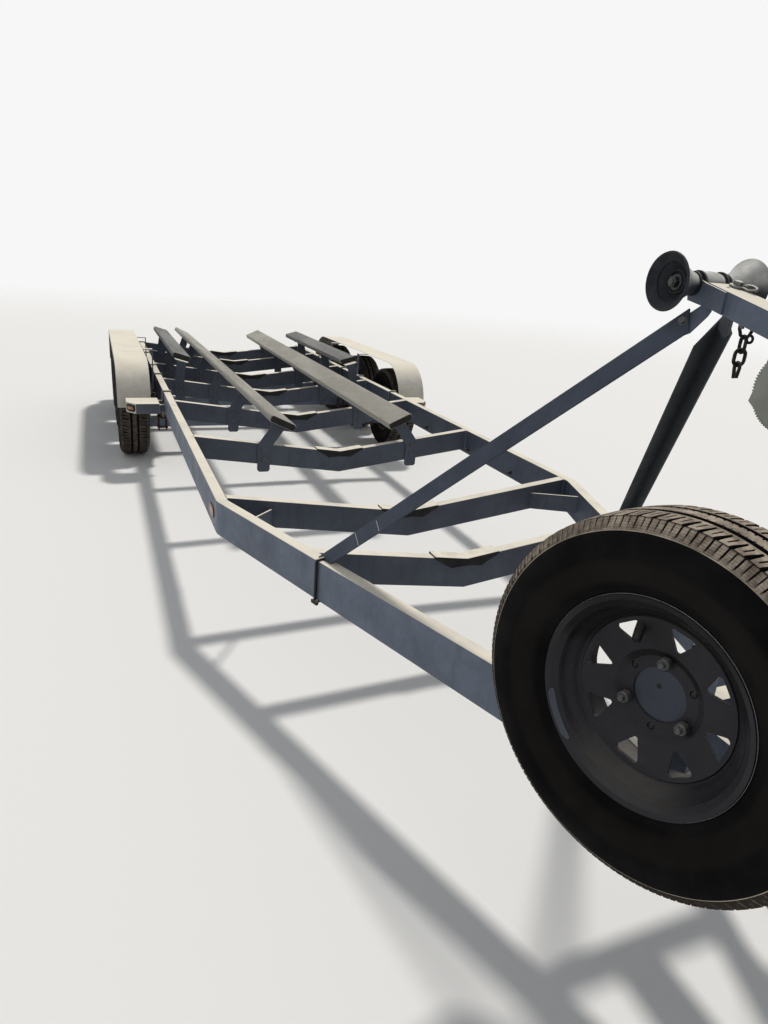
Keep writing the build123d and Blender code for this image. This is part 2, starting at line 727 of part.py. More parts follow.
def axle(y):
    """Dropped axle: low square tube, end plates up to the spindles, brake backing plates."""
    half = AXLE_TUBE / 2
    tube_z = AXLE_Z - AXLE_DROP
    plate_outer = WHEEL_X - HUB_LENGTH - AXLE_END_GAP - BACKPLATE_THICKNESS
    plate_inner = plate_outer - AXLE_PLATE_THICKNESS
    bar = block(-plate_outer, plate_outer, y - half, y + half, tube_z - half, tube_z + half)
    points = [
        (y - half, tube_z - half),
        (y + half, tube_z - half),
        (y + half, AXLE_Z + half),
        (y - half, AXLE_Z + half),
    ]
    rounding = half - 4
    plate = side_prism(points, plate_inner, plate_outer, {2: rounding, 3: rounding})
    spindle = rod_x(SPINDLE_RADIUS, plate_inner, WHEEL_X + 30, y, AXLE_Z)
    end = plate + spindle + wheel_place(1, y) * backplate()
    return bar + end + mirrored(end)


def spring_top():
    """Height of the main leaf's upper face at the middle, over the axle tube."""
    return AXLE_Z - AXLE_DROP + AXLE_TUBE / 2 + SPRING_SEAT + LEAF_COUNT * LEAF_THICKNESS


def leaf_spring(y):
    """Cambered leaves on the axle tube, clamped by U-bolts to a tie plate under it."""
    top_z = spring_top()
    half = SPRING_SPAN / 2
    radius = (half * half + SPRING_CAMBER * SPRING_CAMBER) / (2 * SPRING_CAMBER)
    low = SPRING_X - SPRING_WIDTH / 2
    high = SPRING_X + SPRING_WIDTH / 2
    centre_z = top_z + radius
    stack = None
    for i in range(LEAF_COUNT):
        reach = half * (1 - 0.28 * i)
        inside = radius + LEAF_THICKNESS * i
        ring = Pos(y, centre_z) * (Circle(inside + LEAF_THICKNESS) - Circle(inside))
        window = Pos(y, top_z) * Rectangle(2 * reach, 3 * SPRING_CAMBER)
        plane = Plane((low, 0, 0), x_dir=(0, 1, 0), z_dir=(1, 0, 0))
        leaf = extrude(plane * (ring & window), high - low, dir=(1, 0, 0))
        stack = leaf if stack is None else stack + leaf
    eye_z = top_z + SPRING_CAMBER
    for end in (-1, 1):
        stack = stack + rod_x(EYE_RADIUS, low, high, y + end * half, eye_z)
    for end in (-1, 1):
        stack = stack - rod_x(EYE_BOLT_RADIUS + HANGER_CLEARANCE, low - 1, high + 1, y + end * half, eye_z)
    tube_half = AXLE_TUBE / 2
    bolt_y = tube_half + U_BOLT_RADIUS + U_BOLT_GAP
    bolt_x = SPRING_WIDTH / 2 + U_BOLT_RADIUS + U_BOLT_GAP
    plate_y = bolt_y + 2 * U_BOLT_RADIUS
    plate_x = bolt_x + 2 * U_BOLT_RADIUS
    under = AXLE_Z - AXLE_DROP - tube_half
    seat_top = under + AXLE_TUBE + SPRING_SEAT + LEAF_THICKNESS / 2
    seat = block(low, high, y - tube_half, y + tube_half, under + AXLE_TUBE, seat_top)
    near_x = SPRING_X - plate_x
    far_x = SPRING_X + plate_x
    upper = block(near_x, far_x, y - plate_y, y + plate_y, top_z, top_z + TIE_PLATE)
    lower = block(near_x, far_x, y - plate_y, y + plate_y, under - TIE_PLATE, under)
    stack = stack + seat + upper + lower
    leg_low = under - U_BOLT_END
    leg_high = top_z + TIE_PLATE + 4
    for x in (-bolt_x, bolt_x):
        for end in (-bolt_y, bolt_y):
            middle = Pos(SPRING_X + x, y + end, (leg_low + leg_high) / 2)
            stack = stack + middle * Cylinder(U_BOLT_RADIUS, leg_high - leg_low)
    return stack


def hanger(y, drop_z, gap):
    """Pair of plates under the rail with a bolt across them; gap is the space between them."""
    inner = SPRING_X - gap / 2
    outer = SPRING_X + gap / 2
    half = HANGER_WIDTH / 2
    points = [(y - half, RAIL_BOTTOM), (y + half, RAIL_BOTTOM), (y + 20, drop_z - 20), (y - 20, drop_z - 20)]
    piece = side_prism(points, inner - HANGER_THICKNESS, inner, {2: 14.0, 3: 14.0})
    piece = piece + side_prism(points, outer, outer + HANGER_THICKNESS, {2: 14.0, 3: 14.0})
    piece = piece + block(inner - HANGER_THICKNESS, outer + HANGER_THICKNESS, y - half, y + half,
                          RAIL_BOTTOM - HANGER_THICKNESS, RAIL_BOTTOM)
    bolt = rod_x(EYE_BOLT_RADIUS, inner - HANGER_THICKNESS - 8, outer + HANGER_THICKNESS + 8, y, drop_z)
    return piece + bolt


def middle_ys():
    """Places of the equalisers, half way between neighbouring axles."""
    return [(a + b) / 2 for a, b in zip(AXLE_YS, AXLE_YS[1:])]


def hangers():
    eye_z = spring_top() + SPRING_CAMBER
    end_gap = SPRING_WIDTH + 2 * HANGER_CLEARANCE
    middle_gap = end_gap + 2 * EQUALISER_THICKNESS + 2 * HANGER_CLEARANCE
    front = AXLE_YS[0] - SPRING_SPAN / 2
    rear = AXLE_YS[-1] + SPRING_SPAN / 2
    pieces = both_sides(hanger(front, eye_z, end_gap)) + both_sides(hanger(rear, eye_z, end_gap))
    for y in middle_ys():
        pieces += both_sides(hanger(y, eye_z + EQUALISER_RISE, middle_gap))
    return pieces


def equaliser(y):
    """Two rocker plates across the eyes of neighbouring springs, hung on the middle hanger's bolt."""
    eye_z = spring_top() + SPRING_CAMBER
    pivot_z = eye_z + EQUALISER_RISE
    reach = (AXLE_SPACING - SPRING_SPAN) / 2
    points = [(y - reach - 18, eye_z - 16), (y + reach + 18, eye_z - 16), (y + reach + 18, eye_z + 14),
              (y + 22, pivot_z + 18), (y - 22, pivot_z + 18), (y - reach - 18, eye_z + 14)]
    rounds = {0: 12.0, 1: 12.0, 2: 12.0, 3: 14.0, 4: 14.0, 5: 12.0}
    start = SPRING_WIDTH / 2 + HANGER_CLEARANCE
    pair = side_prism(points, SPRING_X + start, SPRING_X + start + EQUALISER_THICKNESS, rounds)
    pair = pair + side_prism(points, SPRING_X - start - EQUALISER_THICKNESS, SPRING_X - start, rounds)
    hole = rod_x(EYE_BOLT_RADIUS + HANGER_CLEARANCE, SPRING_X - 60, SPRING_X + 60, y, pivot_z)
    pair = pair - hole
    across = start + EQUALISER_THICKNESS
    for end in (-1, 1):
        pair = pair + rod_x(EYE_BOLT_RADIUS, SPRING_X - across, SPRING_X + across, y + end * reach, eye_z)
    return pair


# Fenders, steps and lamps

def fender_face(inset):
    """Side outline of a fender, inset by a sheet thickness or a skirt."""
    front = FENDER_FRONT + inset
    rear = FENDER_REAR - inset
    top = FENDER_TOP - inset
    radius = FENDER_RADIUS - inset
    points = [(front, STEP_BOTTOM), (rear, STEP_BOTTOM), (rear, top), (front, top)]
    return outline(points, {2: radius, 3: radius})


def fender():
    inner_plane = Plane((FENDER_INNER_X, 0, 0), x_dir=(0, 1, 0), z_dir=(1, 0, 0))
    outer_plane = Plane((FENDER_OUTER_X - FENDER_SHEET, 0, 0), x_dir=(0, 1, 0), z_dir=(1, 0, 0))
    sheet = fender_face(0) - fender_face(FENDER_SHEET)
    skirt = fender_face(0) - fender_face(FENDER_SKIRT)
    top = extrude(inner_plane * sheet, FENDER_OUTER_X - FENDER_INNER_X, dir=(1, 0, 0))
    return top + extrude(outer_plane * skirt, FENDER_SHEET, dir=(1, 0, 0))


def fender_arm(y):
    """Flat bar up the rail's outer face and out under the fender."""
    half = FENDER_ARM_WIDTH / 2
    top = FENDER_TOP - FENDER_SHEET
    thick = FENDER_ARM_THICKNESS
    upright = block(RAIL_OUTER_X, RAIL_OUTER_X + thick, y - half, y + half, RAIL_BOTTOM + 20, top)
    shelf = block(RAIL_OUTER_X, FENDER_OUTER_X - 30, y - half, y + half, top - thick, top)
    return upright + shelf


def fender_arms():
    return [piece for y in middle_ys() for piece in both_sides(fender_arm(y))]


def step(front, rear, chamfer_front):
    """Boxed step beside the rail, one outer corner cut back for a lamp."""
    near = front if chamfer_front else rear
    far = rear if chamfer_front else front
    inward = 1 if chamfer_front else -1
    points = [
        (STEP_INNER_X, near),
        (STEP_OUTER_X - STEP_CHAMFER_X, near),
        (STEP_OUTER_X, near + inward * STEP_CHAMFER_Y),
        (STEP_OUTER_X, far),
        (STEP_INNER_X, far),
    ]
    box = plan_prism(points, STEP_BOTTOM, STEP_TOP)
    wall = STEP_SHEET
    inner = [
        (STEP_INNER_X + wall, near + inward * wall),
        (STEP_OUTER_X - STEP_CHAMFER_X - wall, near + inward * wall),
        (STEP_OUTER_X - wall, near + inward * (STEP_CHAMFER_Y + wall)),
        (STEP_OUTER_X - wall, far - inward * wall),
        (STEP_INNER_X + wall, far - inward * wall),
    ]
    box = box - plan_prism(inner, STEP_BOTTOM - 1, STEP_TOP - wall)
    for place in STEP_ARM_PLACES:
        y = near + inward * place
        arm = block(RAIL_OUTER_X, STEP_INNER_X + 1, y - STEP_ARM / 2, y + STEP_ARM / 2,
                    STEP_BOTTOM + 8, STEP_TOP - 14)
        box = box + arm
    return box - lamp_block(near, inward, 0.3)


def lamp_block(near, inward, grow=0.0):
    """Lamp let into the slanted corner face of a step."""
    x = STEP_OUTER_X - STEP_CHAMFER_X / 2
    y = near + inward * STEP_CHAMFER_Y / 2
    turn = math.degrees(math.atan2(STEP_CHAMFER_Y, STEP_CHAMFER_X)) * inward
    place = Pos(x, y, STEP_TOP - STEP_DEPTH / 2) * Rot(0, 0, turn)
    return place * Box(LAMP_WIDTH + 2 * grow, LAMP_DEPTH + 2 * grow, LAMP_HEIGHT + 2 * grow)


# Bow stand

def arm_place():
    """Frame of the sloping arm: origin at its rear top edge, local -Y forward along it."""
    return Pos(0, ARM_REAR_Y, ARM_REAR_TOP) * Rot(ARM_SLOPE, 0, 0)


def arm_top(y):
    """Height of the arm's top line at y."""
    return ARM_REAR_TOP + (y - ARM_REAR_Y) * math.tan(math.radians(ARM_SLOPE))


def roller_ear():
    """Side plate that carries the roller's shaft behind the right side of the arm."""
    half = ARM_WIDTH / 2
    lap_y = ARM_REAR_Y - EAR_LAP
    points = [
        (lap_y, arm_top(lap_y) - 2),
        (ARM_REAR_Y, ARM_REAR_TOP - 2),
        (ROLLER_Y, ROLLER_Z + EAR_RADIUS),
        (ROLLER_Y + EAR_RADIUS, ROLLER_Z),
        (ROLLER_Y + EAR_RADIUS / 2, ROLLER_Z - EAR_DROP),
        (lap_y, arm_top(lap_y) - ARM_DEPTH + 2),
    ]
    ear = side_prism(points, half, half + EAR_THICKNESS)
    ear = ear + rod_x(EAR_RADIUS, half, half + EAR_THICKNESS, ROLLER_Y, ROLLER_Z)
    bore = ROLLER_SHAFT_RADIUS + ROLLER_SHAFT_CLEARANCE
    return ear - rod_x(bore, 0, half + EAR_THICKNESS + 1, ROLLER_Y, ROLLER_Z)


def winch_arm():
    half = ARM_WIDTH / 2
    wall = ARM_WALL
    outer = arm_place() * block(-half, half, -ARM_LENGTH, 0, -ARM_DEPTH, 0)
    inner = arm_place() * block(-half + wall, half - wall, -ARM_LENGTH - 1, 1, -ARM_DEPTH + wall, -wall)
    side = roller_ear() + (brace_tab() - outer)
    return (outer - inner) + side + mirrored(side)


def winch_post():
    half = POST_SIZE / 2
    high = ARM_REAR_TOP
    outer = block(-half, half, POST_Y - half, POST_Y + half, RAIL_TOP, high)
    inner = block(-half + POST_WALL, half - POST_WALL, POST_Y - half + POST_WALL, POST_Y + half - POST_WALL,
                  RAIL_TOP - 1, high + 1)
    above = arm_place() * block(-POST_SIZE, POST_SIZE, -2 * ARM_LENGTH, ARM_LENGTH, -ARM_DEPTH, ARM_LENGTH)
    return outer - inner - above


def brace_frame():
    """Head of the right brace's heel, and directions up along it and down its two legs."""
    head = Vector(*BRACE_HEAD)
    along = (head - Vector(*BRACE_FOOT)).normalized()
    outward = Vector(0, 0, 1).cross(along).normalized()
    upward = along.cross(outward)
    tilt = math.radians(BRACE_TILT)
    outer_leg = outward * math.sin(tilt) - upward * math.cos(tilt)
    inner_leg = outer_leg.cross(along)
    return head, along, outer_leg, inner_leg


def winch_brace():
    """Right-hand angle-iron brace, its heel along the top edge, standing on the rail."""
    head, along, outer_leg, inner_leg = brace_frame()
    leg = BRACE_LEG
    foot = -(head - Vector(*BRACE_FOOT)).length - 2 * leg
    outer_face = outline([(0, foot), (leg, foot), (leg, -BRACE_BEVEL), (0, 0)])
    thick = BRACE_THICKNESS
    outer = extrude(Plane(head, x_dir=outer_leg, z_dir=inner_leg) * outer_face, thick, dir=inner_leg)
    inner_face = outline([(0, foot), (-leg, foot), (-leg, -BRACE_COPE), (0, 0)])
    inner = extrude(Plane(head, x_dir=inner_leg * -1, z_dir=outer_leg) * inner_face, thick, dir=outer_leg)
    return outer + inner - block(0, RAIL_OUTER_X, -NOSE_REACH, 0, 0, RAIL_TOP)


def brace_tab():
    """Plate from the side of the arm down behind the outer leg of the right brace."""
    head, along, outer_leg, inner_leg = brace_frame()
    inset = BRACE_THICKNESS + BRACE_TAB_CLEARANCE
    upper = inset + 1
    lower = BRACE_LEG
    reach = 2.4 * BRACE_LEG
    points = [
        (upper, -BRACE_TAB_LAP),
        (lower - 7, -BRACE_TAB_LAP),
        (lower, -BRACE_BEVEL),
        (lower / 3, reach),
        (upper, reach),
    ]
    face = outline(points, {0: BRACE_TAB_CORNER, 1: BRACE_TAB_CORNER})
    place = Plane(head + inner_leg * inset, x_dir=outer_leg, z_dir=inner_leg)
    plate = extrude(place * face, BRACE_THICKNESS, dir=inner_leg)
    return plate & block(ARM_WIDTH / 2, RAIL_OUTER_X, -NOSE_REACH, 0, 0, ROLLER_Z)


def bow_roller():
    """Shaft with a barrel between the ears and a deep bell outside each of them."""
    half = ARM_WIDTH / 2
    start = half + EAR_THICKNESS + ROLLER_SIDE_GAP
    end = start + BELL_LENGTH
    shaft = rod_x(ROLLER_SHAFT_RADIUS, -end + BELL_RECESS, end - BELL_RECESS, 0, 0)
    spool_half = half - ROLLER_SIDE_GAP
    neck = BELL_NECK_RADIUS
    spool = revolve(make_face(Wire([
        *Line((-spool_half, 0), (spool_half, 0)).edges(),
        *Line((spool_half, 0), (spool_half, neck)).edges(),
        *ThreePointArc((spool_half, neck), (0, SPOOL_RADIUS), (-spool_half, neck)).edges(),
        *Line((-spool_half, neck), (-spool_half, 0)).edges(),
    ])), axis=Axis.X)
    floor = end - BELL_RECESS
    rim_inside = BELL_RADIUS - BELL_LIP
    waist = (start + 0.45 * BELL_LENGTH, 0.56 * BELL_RADIUS)
    outside = ThreePointArc((start, neck), waist, (end - 3, BELL_RADIUS - 1))
    inside = [
        (end - 3, BELL_RADIUS - 1),
        (end, BELL_RADIUS - 2),
        (end, rim_inside),
        (end - BELL_RECESS * 0.35, rim_inside - 14),
        (end - BELL_RECESS * 0.45, rim_inside - 18),
        (end - BELL_RECESS * 0.55, rim_inside - 18),
        (floor, rim_inside - 32),
        (floor, 0),
        (start, 0),
        (start, neck),
    ]
    bell = revolve(make_face(Wire([*outside.edges(), *Polyline(*inside).edges()])), axis=Axis.X)
    return Pos(0, ROLLER_Y, ROLLER_Z) * (shaft + spool + bell + mirrored(bell))


def pinion_place():
    """Centre (y, z) of the pinion, in mesh with the gear wheel."""
    angle = math.radians(PINION_ANGLE)
    reach = GEAR_RADIUS + PINION_RADIUS + WINCH_SHAFT_CLEARANCE
    return WINCH_Y + reach * math.cos(angle), WINCH_Z + reach * math.sin(angle)


def winch_frame():
    """Bent plate on the post's rear face, with two side plates around the drum."""
    post_face = POST_Y + POST_SIZE / 2
    points = [
        (post_face, WINCH_NOSE_Z - 96),
        (WINCH_NOSE_Y - 122, WINCH_NOSE_Z - 86),
        (WINCH_NOSE_Y, WINCH_NOSE_Z),
        (WINCH_NOSE_Y - 24, WINCH_NOSE_Z + 98),
        (post_face, WINCH_NOSE_Z + 98),
    ]
    inner = WINCH_PLATE_X - WINCH_PLATE_THICKNESS
    plate = side_prism(points, inner, WINCH_PLATE_X)
    for radius, place in ((WINCH_SHAFT_RADIUS, (WINCH_Y, WINCH_Z)), (PINION_SHAFT_RADIUS, pinion_place())):
        plate = plate - rod_x(radius + WINCH_SHAFT_CLEARANCE, inner - 1, WINCH_PLATE_X + 1, *place)
    back = block(-inner, inner, post_face, post_face + WINCH_PLATE_THICKNESS,
                 WINCH_NOSE_Z - 96, WINCH_NOSE_Z + 60)
    return plate + mirrored(plate) + back


def winch_drum():
    """Drum, its shaft and the large gear wheel beside the left side plate."""
    reach = WINCH_PLATE_X + 24
    shaft = rod_x(WINCH_SHAFT_RADIUS, -reach, reach, WINCH_Y, WINCH_Z)
    gear_x = -WINCH_PLATE_X + WINCH_PLATE_THICKNESS + GEAR_GAP
    core = rod_x(DRUM_CORE_RADIUS, gear_x + GEAR_WIDTH, -gear_x, WINCH_Y, WINCH_Z)
    root = GEAR_RADIUS - GEAR_TOOTH_HEIGHT
    points = []
    pitch = 2 * math.pi / GEAR_TEETH
    for i in range(GEAR_TEETH):
        for share, radius in ((0.0, root), (0.28, root), (0.42, GEAR_RADIUS), (0.86, GEAR_RADIUS)):
            angle = pitch * (i + share)
            points.append((WINCH_Y + radius * math.cos(angle), WINCH_Z + radius * math.sin(angle)))
    gear = side_prism(points, gear_x, gear_x + GEAR_WIDTH)
    return shaft + core + gear


def winch_crank():
    """Pinion on its shaft, and the crank outside the right side plate."""
    y, z = pinion_place()
    gear_x = -WINCH_PLATE_X + WINCH_PLATE_THICKNESS + GEAR_GAP
    lever_x = WINCH_PLATE_X + 2 * CRANK_WIDTH
    shaft = rod_x(PINION_SHAFT_RADIUS, -WINCH_PLATE_X - 4, lever_x + CRANK_THICKNESS, y, z)
    pinion = rod_x(PINION_RADIUS, gear_x, gear_x + GEAR_WIDTH, y, z)
    half = CRANK_WIDTH / 2
    bar = block(lever_x, lever_x + CRANK_THICKNESS, -half, half, -CRANK_LENGTH, half)
    bar = fillet(bar.edges().filter_by(Axis.X), half - 0.5)
    grip = rod_x(CRANK_GRIP_RADIUS, lever_x, lever_x + CRANK_GRIP_LENGTH, 0, half - CRANK_LENGTH)
    return shaft + pinion + Pos(0, y, z) * Rot(CRANK_ANGLE, 0, 0) * (bar + grip)


# Spare wheel on the left tongue rail

def left_rail_place(along, out, z):
    """Frame on the left tongue rail: local +X outwards, local +Y back along the rail."""
    x = -RAIL_OUTER_X + along * math.sin(TONGUE) - out * math.cos(TONGUE)
    y = -along * math.cos(TONGUE) - out * math.sin(TONGUE)
    return Pos(x, y, z) * Rot(0, 0, 180 + TONGUE_ANGLE)


def spare_place():
    """Frame of the spare wheel, turned and leaning a little from the rail's own direction."""
    return left_rail_place(SPARE_ALONG, SPARE_OUT, SPARE_Z) * Rot(0, 0, -SPARE_TURN) * Rot(0, -SPARE_LEAN, 0)


def spare_carrier():
    """Upright on the rail's top with a stub out to the mounting plate."""
    half = CARRIER_TUBE / 2
    middle = -SPARE_OUT - RAIL_WIDTH / 2
    low = RAIL_TOP - SPARE_Z
    foot_half = CARRIER_FOOT_LENGTH / 2
    plate_thick = CARRIER_PLATE_THICKNESS
    foot = block(-SPARE_OUT - RAIL_WIDTH, -SPARE_OUT, -foot_half, foot_half, low, low + plate_thick)
    upright = block(middle - half, middle + half, -half, half, low, half + 15)
    stand = left_rail_place(SPARE_ALONG, SPARE_OUT, SPARE_Z) * (foot + upright)
    stub_half = half - 6
    stub = block(middle, -plate_thick, -stub_half, stub_half, -stub_half, stub_half)
    plate = rod_x(CARRIER_PLATE_RADIUS, -plate_thick, -BEAD_CLEARANCE, 0, 0)
    return stand + spare_place() * (stub + plate)


def spare_cap():
    """Plain plate recessed in the disc's centre bore, with a small hole above its middle."""
    cap = rod_x(CENTRE_BORE_RADIUS - BEAD_CLEARANCE, 0, DISC_THICKNESS - CAP_RECESS, 0, 0)
    return cap - rod_x(CAP_HOLE_RADIUS, -1, DISC_THICKNESS, *CAP_HOLE_PLACE)


# Swivel jack on the right tongue rail

def right_rail_place(along, out, z):
    """Frame on the right tongue rail: local +X outwards, local +Y back along the rail."""
    x = RAIL_OUTER_X - along * math.sin(TONGUE) + out * math.cos(TONGUE)
    y = -along * math.cos(TONGUE) - out * math.sin(TONGUE)
    return Pos(x, y, z) * Rot(0, 0, -TONGUE_ANGLE)


def jack_mount():
    """Plate on the rail's outer face with the pivot boss."""
    half = JACK_PLATE / 2
    plate = block(0, JACK_PLATE_THICKNESS, -half, half, -half, half)
    boss_end = JACK_OUT - JACK_TUBE_RADIUS - 0.5
    boss = rod_x(JACK_PIVOT_RADIUS, 0, boss_end, 0, 0)
    return right_rail_place(JACK_ALONG, 0, JACK_PIVOT_Z) * (plate + boss)


def jack_body():
    """Outer tube with its swivel plate, cap and crank."""
    low = JACK_TUBE_LOW - JACK_PIVOT_Z
    high = JACK_TUBE_HIGH - JACK_PIVOT_Z
    middle = (low + high) / 2
    tube = Pos(JACK_OUT, 0, middle) * Cylinder(JACK_TUBE_RADIUS, high - low)
    plate_start = JACK_PLATE_THICKNESS + JACK_SWIVEL_GAP
    plate = rod_x(JACK_PLATE / 2 - 4, plate_start, plate_start + JACK_PLATE_THICKNESS, 0, 0)
    web = block(plate_start + 2, JACK_OUT, -20, 20, -50, 50)
    body = tube + plate + web
    bore_low = low - 1
    bore_high = high - 14
    bore = Pos(JACK_OUT, 0, (bore_low + bore_high) / 2)
    body = body - bore * Cylinder(JACK_LEG_RADIUS + JACK_LEG_CLEARANCE, bore_high - bore_low)
    body = body - rod_x(JACK_PIVOT_RADIUS + JACK_PIVOT_CLEARANCE, 0, JACK_OUT - JACK_TUBE_RADIUS, 0, 0)
    crank_z = high + 14
    neck = Pos(JACK_OUT, 0, high + 9) * Cylinder(9, 24)
    lever = block(JACK_OUT - 8, JACK_OUT + 8, -8, 150, crank_z, crank_z + 8)
    grip = Pos(JACK_OUT, 140, crank_z + 50) * Cylinder(13, 90)
    return right_rail_place(JACK_ALONG, 0, JACK_PIVOT_Z) * (body + neck + lever + grip)


def jack_leg():
    """Inner tube and foot plate, down on the ground."""
    low = JACK_FOOT_THICKNESS
    top = JACK_LEG_TOP
    leg = Pos(0, 0, (low + top) / 2) * Cylinder(JACK_LEG_RADIUS, top - low)
    foot = Pos(0, 0, JACK_FOOT_THICKNESS / 2) * Box(JACK_FOOT_SIZE, JACK_FOOT_SIZE, JACK_FOOT_THICKNESS)
    return right_rail_place(JACK_ALONG, JACK_OUT, 0) * (leg + foot)


def write_frame():
    right = rail()
    save("rail_right", [right])
    save("rail_left", [mirrored(right)])
    for number, (front, dip, _, _) in enumerate(CROSSMEMBERS, start=1):
        save(f"crossmember_{number}", [crossmember(front, dip)])
    save("crossmember_front", [front_beam()])
    save("keel_pads", [keel_pad(front, dip) for front, dip, _, _ in CROSSMEMBERS])
    save("knee_gussets", both_sides(knee_gusset()))
    save("tongue_tube", [tongue_tube()])
    save("coupler", [coupler()])


def write_bunks():
    for name, board in (("inner", inner_bunk()), ("outer", outer_bunk())):
        save(f"bunk_{name}_right", [board])
        save(f"bunk_{name}_left", [mirrored(board)])
    save("bunk_brackets_inner", inner_brackets())
    save("bunk_brackets_outer", outer_brackets())


def write_running_gear():
    rubber = tyre()
    wheel = rim() + hub()
    for side, side_name in ((-1, "left"), (1, "right")):
        for number, y in enumerate(AXLE_YS, start=1):
            save(f"tyre_{side_name}_{number}", [wheel_place(side, y) * rubber])
            save(f"wheel_{side_name}_{number}", [wheel_place(side, y) * wheel])
    save("axles", [axle(y) for y in AXLE_YS])
    save("leaf_springs", [piece for y in AXLE_YS for piece in both_sides(leaf_spring(y))])
    save("spring_hangers", hangers())
    save("equalisers", [piece for y in middle_ys() for piece in both_sides(equaliser(y))])
    spare = spare_place()
    save("spare_tyre", [spare * rubber])
    save("spare_wheel", [spare * rim()])
    save("spare_cap", [spare * spare_cap()])
    save("spare_carrier", [spare_carrier()])


def write_fenders():
    guard = fender()
    save("fender_right", [guard])
    save("fender_left", [mirrored(guard)])
    save("fender_arms", fender_arms())
    save("fender_steps", both_sides(step(STEP_FRONT, FENDER_FRONT, True))
         + both_sides(step(FENDER_REAR, STEP_REAR, False)))
    save("marker_lamps", both_sides(lamp_block(STEP_FRONT, 1)))
    save("tail_lamps", both_sides(lamp_block(STEP_REAR, -1)))


def write_bow_stand():
    save("winch_post", [winch_post()])
    save("winch_arm", [winch_arm()])
    save("winch_braces", both_sides(winch_brace()))
    save("winch_frame", [winch_frame()])
    save("winch_drum", [winch_drum()])
    save("winch_crank", [winch_crank()])
    save("bow_roller", [bow_roller()])


def write_jack():
    save("jack_mount", [jack_mount()])
    save("jack_body", [jack_body()])
    save("jack_leg", [jack_leg()])


os.makedirs("parts", exist_ok=True)
write_frame()
write_bunks()
write_running_gear()
write_fenders()
write_bow_stand()
write_jack()
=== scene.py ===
"""Boat trailer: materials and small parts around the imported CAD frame, in metres."""
import json
import math
import random

import bmesh
import bpy
from mathutils import Matrix, Vector, noise


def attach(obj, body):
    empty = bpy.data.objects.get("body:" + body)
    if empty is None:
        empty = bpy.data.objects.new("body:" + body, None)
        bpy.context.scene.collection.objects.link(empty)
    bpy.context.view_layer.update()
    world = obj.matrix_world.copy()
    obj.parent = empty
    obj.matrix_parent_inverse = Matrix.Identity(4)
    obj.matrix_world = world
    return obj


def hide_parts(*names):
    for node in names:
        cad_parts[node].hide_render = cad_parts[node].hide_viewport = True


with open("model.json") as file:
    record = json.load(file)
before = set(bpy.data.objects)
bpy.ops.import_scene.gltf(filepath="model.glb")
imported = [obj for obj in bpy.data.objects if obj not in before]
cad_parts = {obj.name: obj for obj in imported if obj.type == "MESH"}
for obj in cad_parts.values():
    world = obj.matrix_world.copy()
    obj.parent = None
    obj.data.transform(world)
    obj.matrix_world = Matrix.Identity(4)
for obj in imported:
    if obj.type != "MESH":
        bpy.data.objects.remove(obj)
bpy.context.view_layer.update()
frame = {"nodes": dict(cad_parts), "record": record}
random.seed(7)

# Driving dimensions, the CAD's own apart from the tread's fall
KNEE_Y = -1.550
TONGUE = math.radians(19.4)
RAIL_OUTER = 0.939
RAIL_WIDTH = 0.0508
RAIL_TOP = 0.604
RAIL_DEPTH = 0.1524
RAIL_INNER = RAIL_OUTER - RAIL_WIDTH
CROSS_DEPTH = 0.127
CROSS_THICKNESS = 0.0508
# columns: front face from the knee, dip of the V
CROSSMEMBERS = [
    (-0.552, 0.125),
    (0.033, 0.124),
    (1.131, 0.122),
    (2.150, 0.118),
    (3.080, 0.114),
    (3.920, 0.110),
    (4.820, 0.106),
    (5.500, 0.104),
]
AXLE_YS = [3.050 + 0.838 * i + KNEE_Y for i in range(3)]
TYRE_RADIUS = 0.35925
TYRE_HALF = 0.111
TREAD_HALF = 0.0835
# (x, radius) round the bead: where it meets the lip, its heel and its toe
BEAD = ((0.0797, 0.2125), (0.0757, 0.2000), (0.0657, 0.1908))
WHEEL_X = 1.143
DISC_THICKNESS = 0.007
LUG_CIRCLE = 0.06985
# how far the tread's edge lies below its crown, less than on the solid
CROWN_FALL = 0.0042
# (x, radius) where the sidewall ends, and the slope from there up to the tread
SHOULDER_LINE = (0.1045, 0.3310)
SHOULDER_SLOPE = 1.14
LUG_COUNT = 6
SPARE_ALONG = 2.064
SPARE_OUT = 0.164
SPARE_Z = 0.871
SPARE_TURN = math.radians(2.7)
SPARE_LEAN = math.radians(2.6)
VALVE_TURN = math.radians(115)
CAP_HOLE = Vector((0.003, -0.006, 0.015))
# the bow roller's middle, and how far out from it the floors of its bells are
ROLLER_PLACE = Vector((0, -1.502 + KNEE_Y, 1.6145))
BELL_FLOOR = 0.0945

WORLD_Z = Vector((0, 0, 1))


def add_object(name, data):
    made = bpy.data.objects.new(name, data)
    bpy.context.scene.collection.objects.link(made)
    return made


# Camera, solved from the photograph

CAMERA_PLACE = Vector((-1.3613, -4.368, 1.6022))
CAMERA_RIGHT = Vector((0.9265, -0.3695, 0.0708))
CAMERA_UP = Vector((0.0638, 0.3396, 0.9385))
CAMERA_LENS = 24.03
CAMERA_SENSOR = 36.0


def make_camera():
    data = bpy.data.cameras.new("camera")
    data.lens = CAMERA_LENS
    data.sensor_width = CAMERA_SENSOR
    data.clip_end = 200
    camera = add_object("camera", data)
    right = CAMERA_RIGHT.normalized()
    back = right.cross(CAMERA_UP).normalized()
    up = back.cross(right)
    camera.matrix_world = Matrix.Translation(CAMERA_PLACE) @ axes_to(right, up, back)
    bpy.context.scene.camera = camera


# Materials

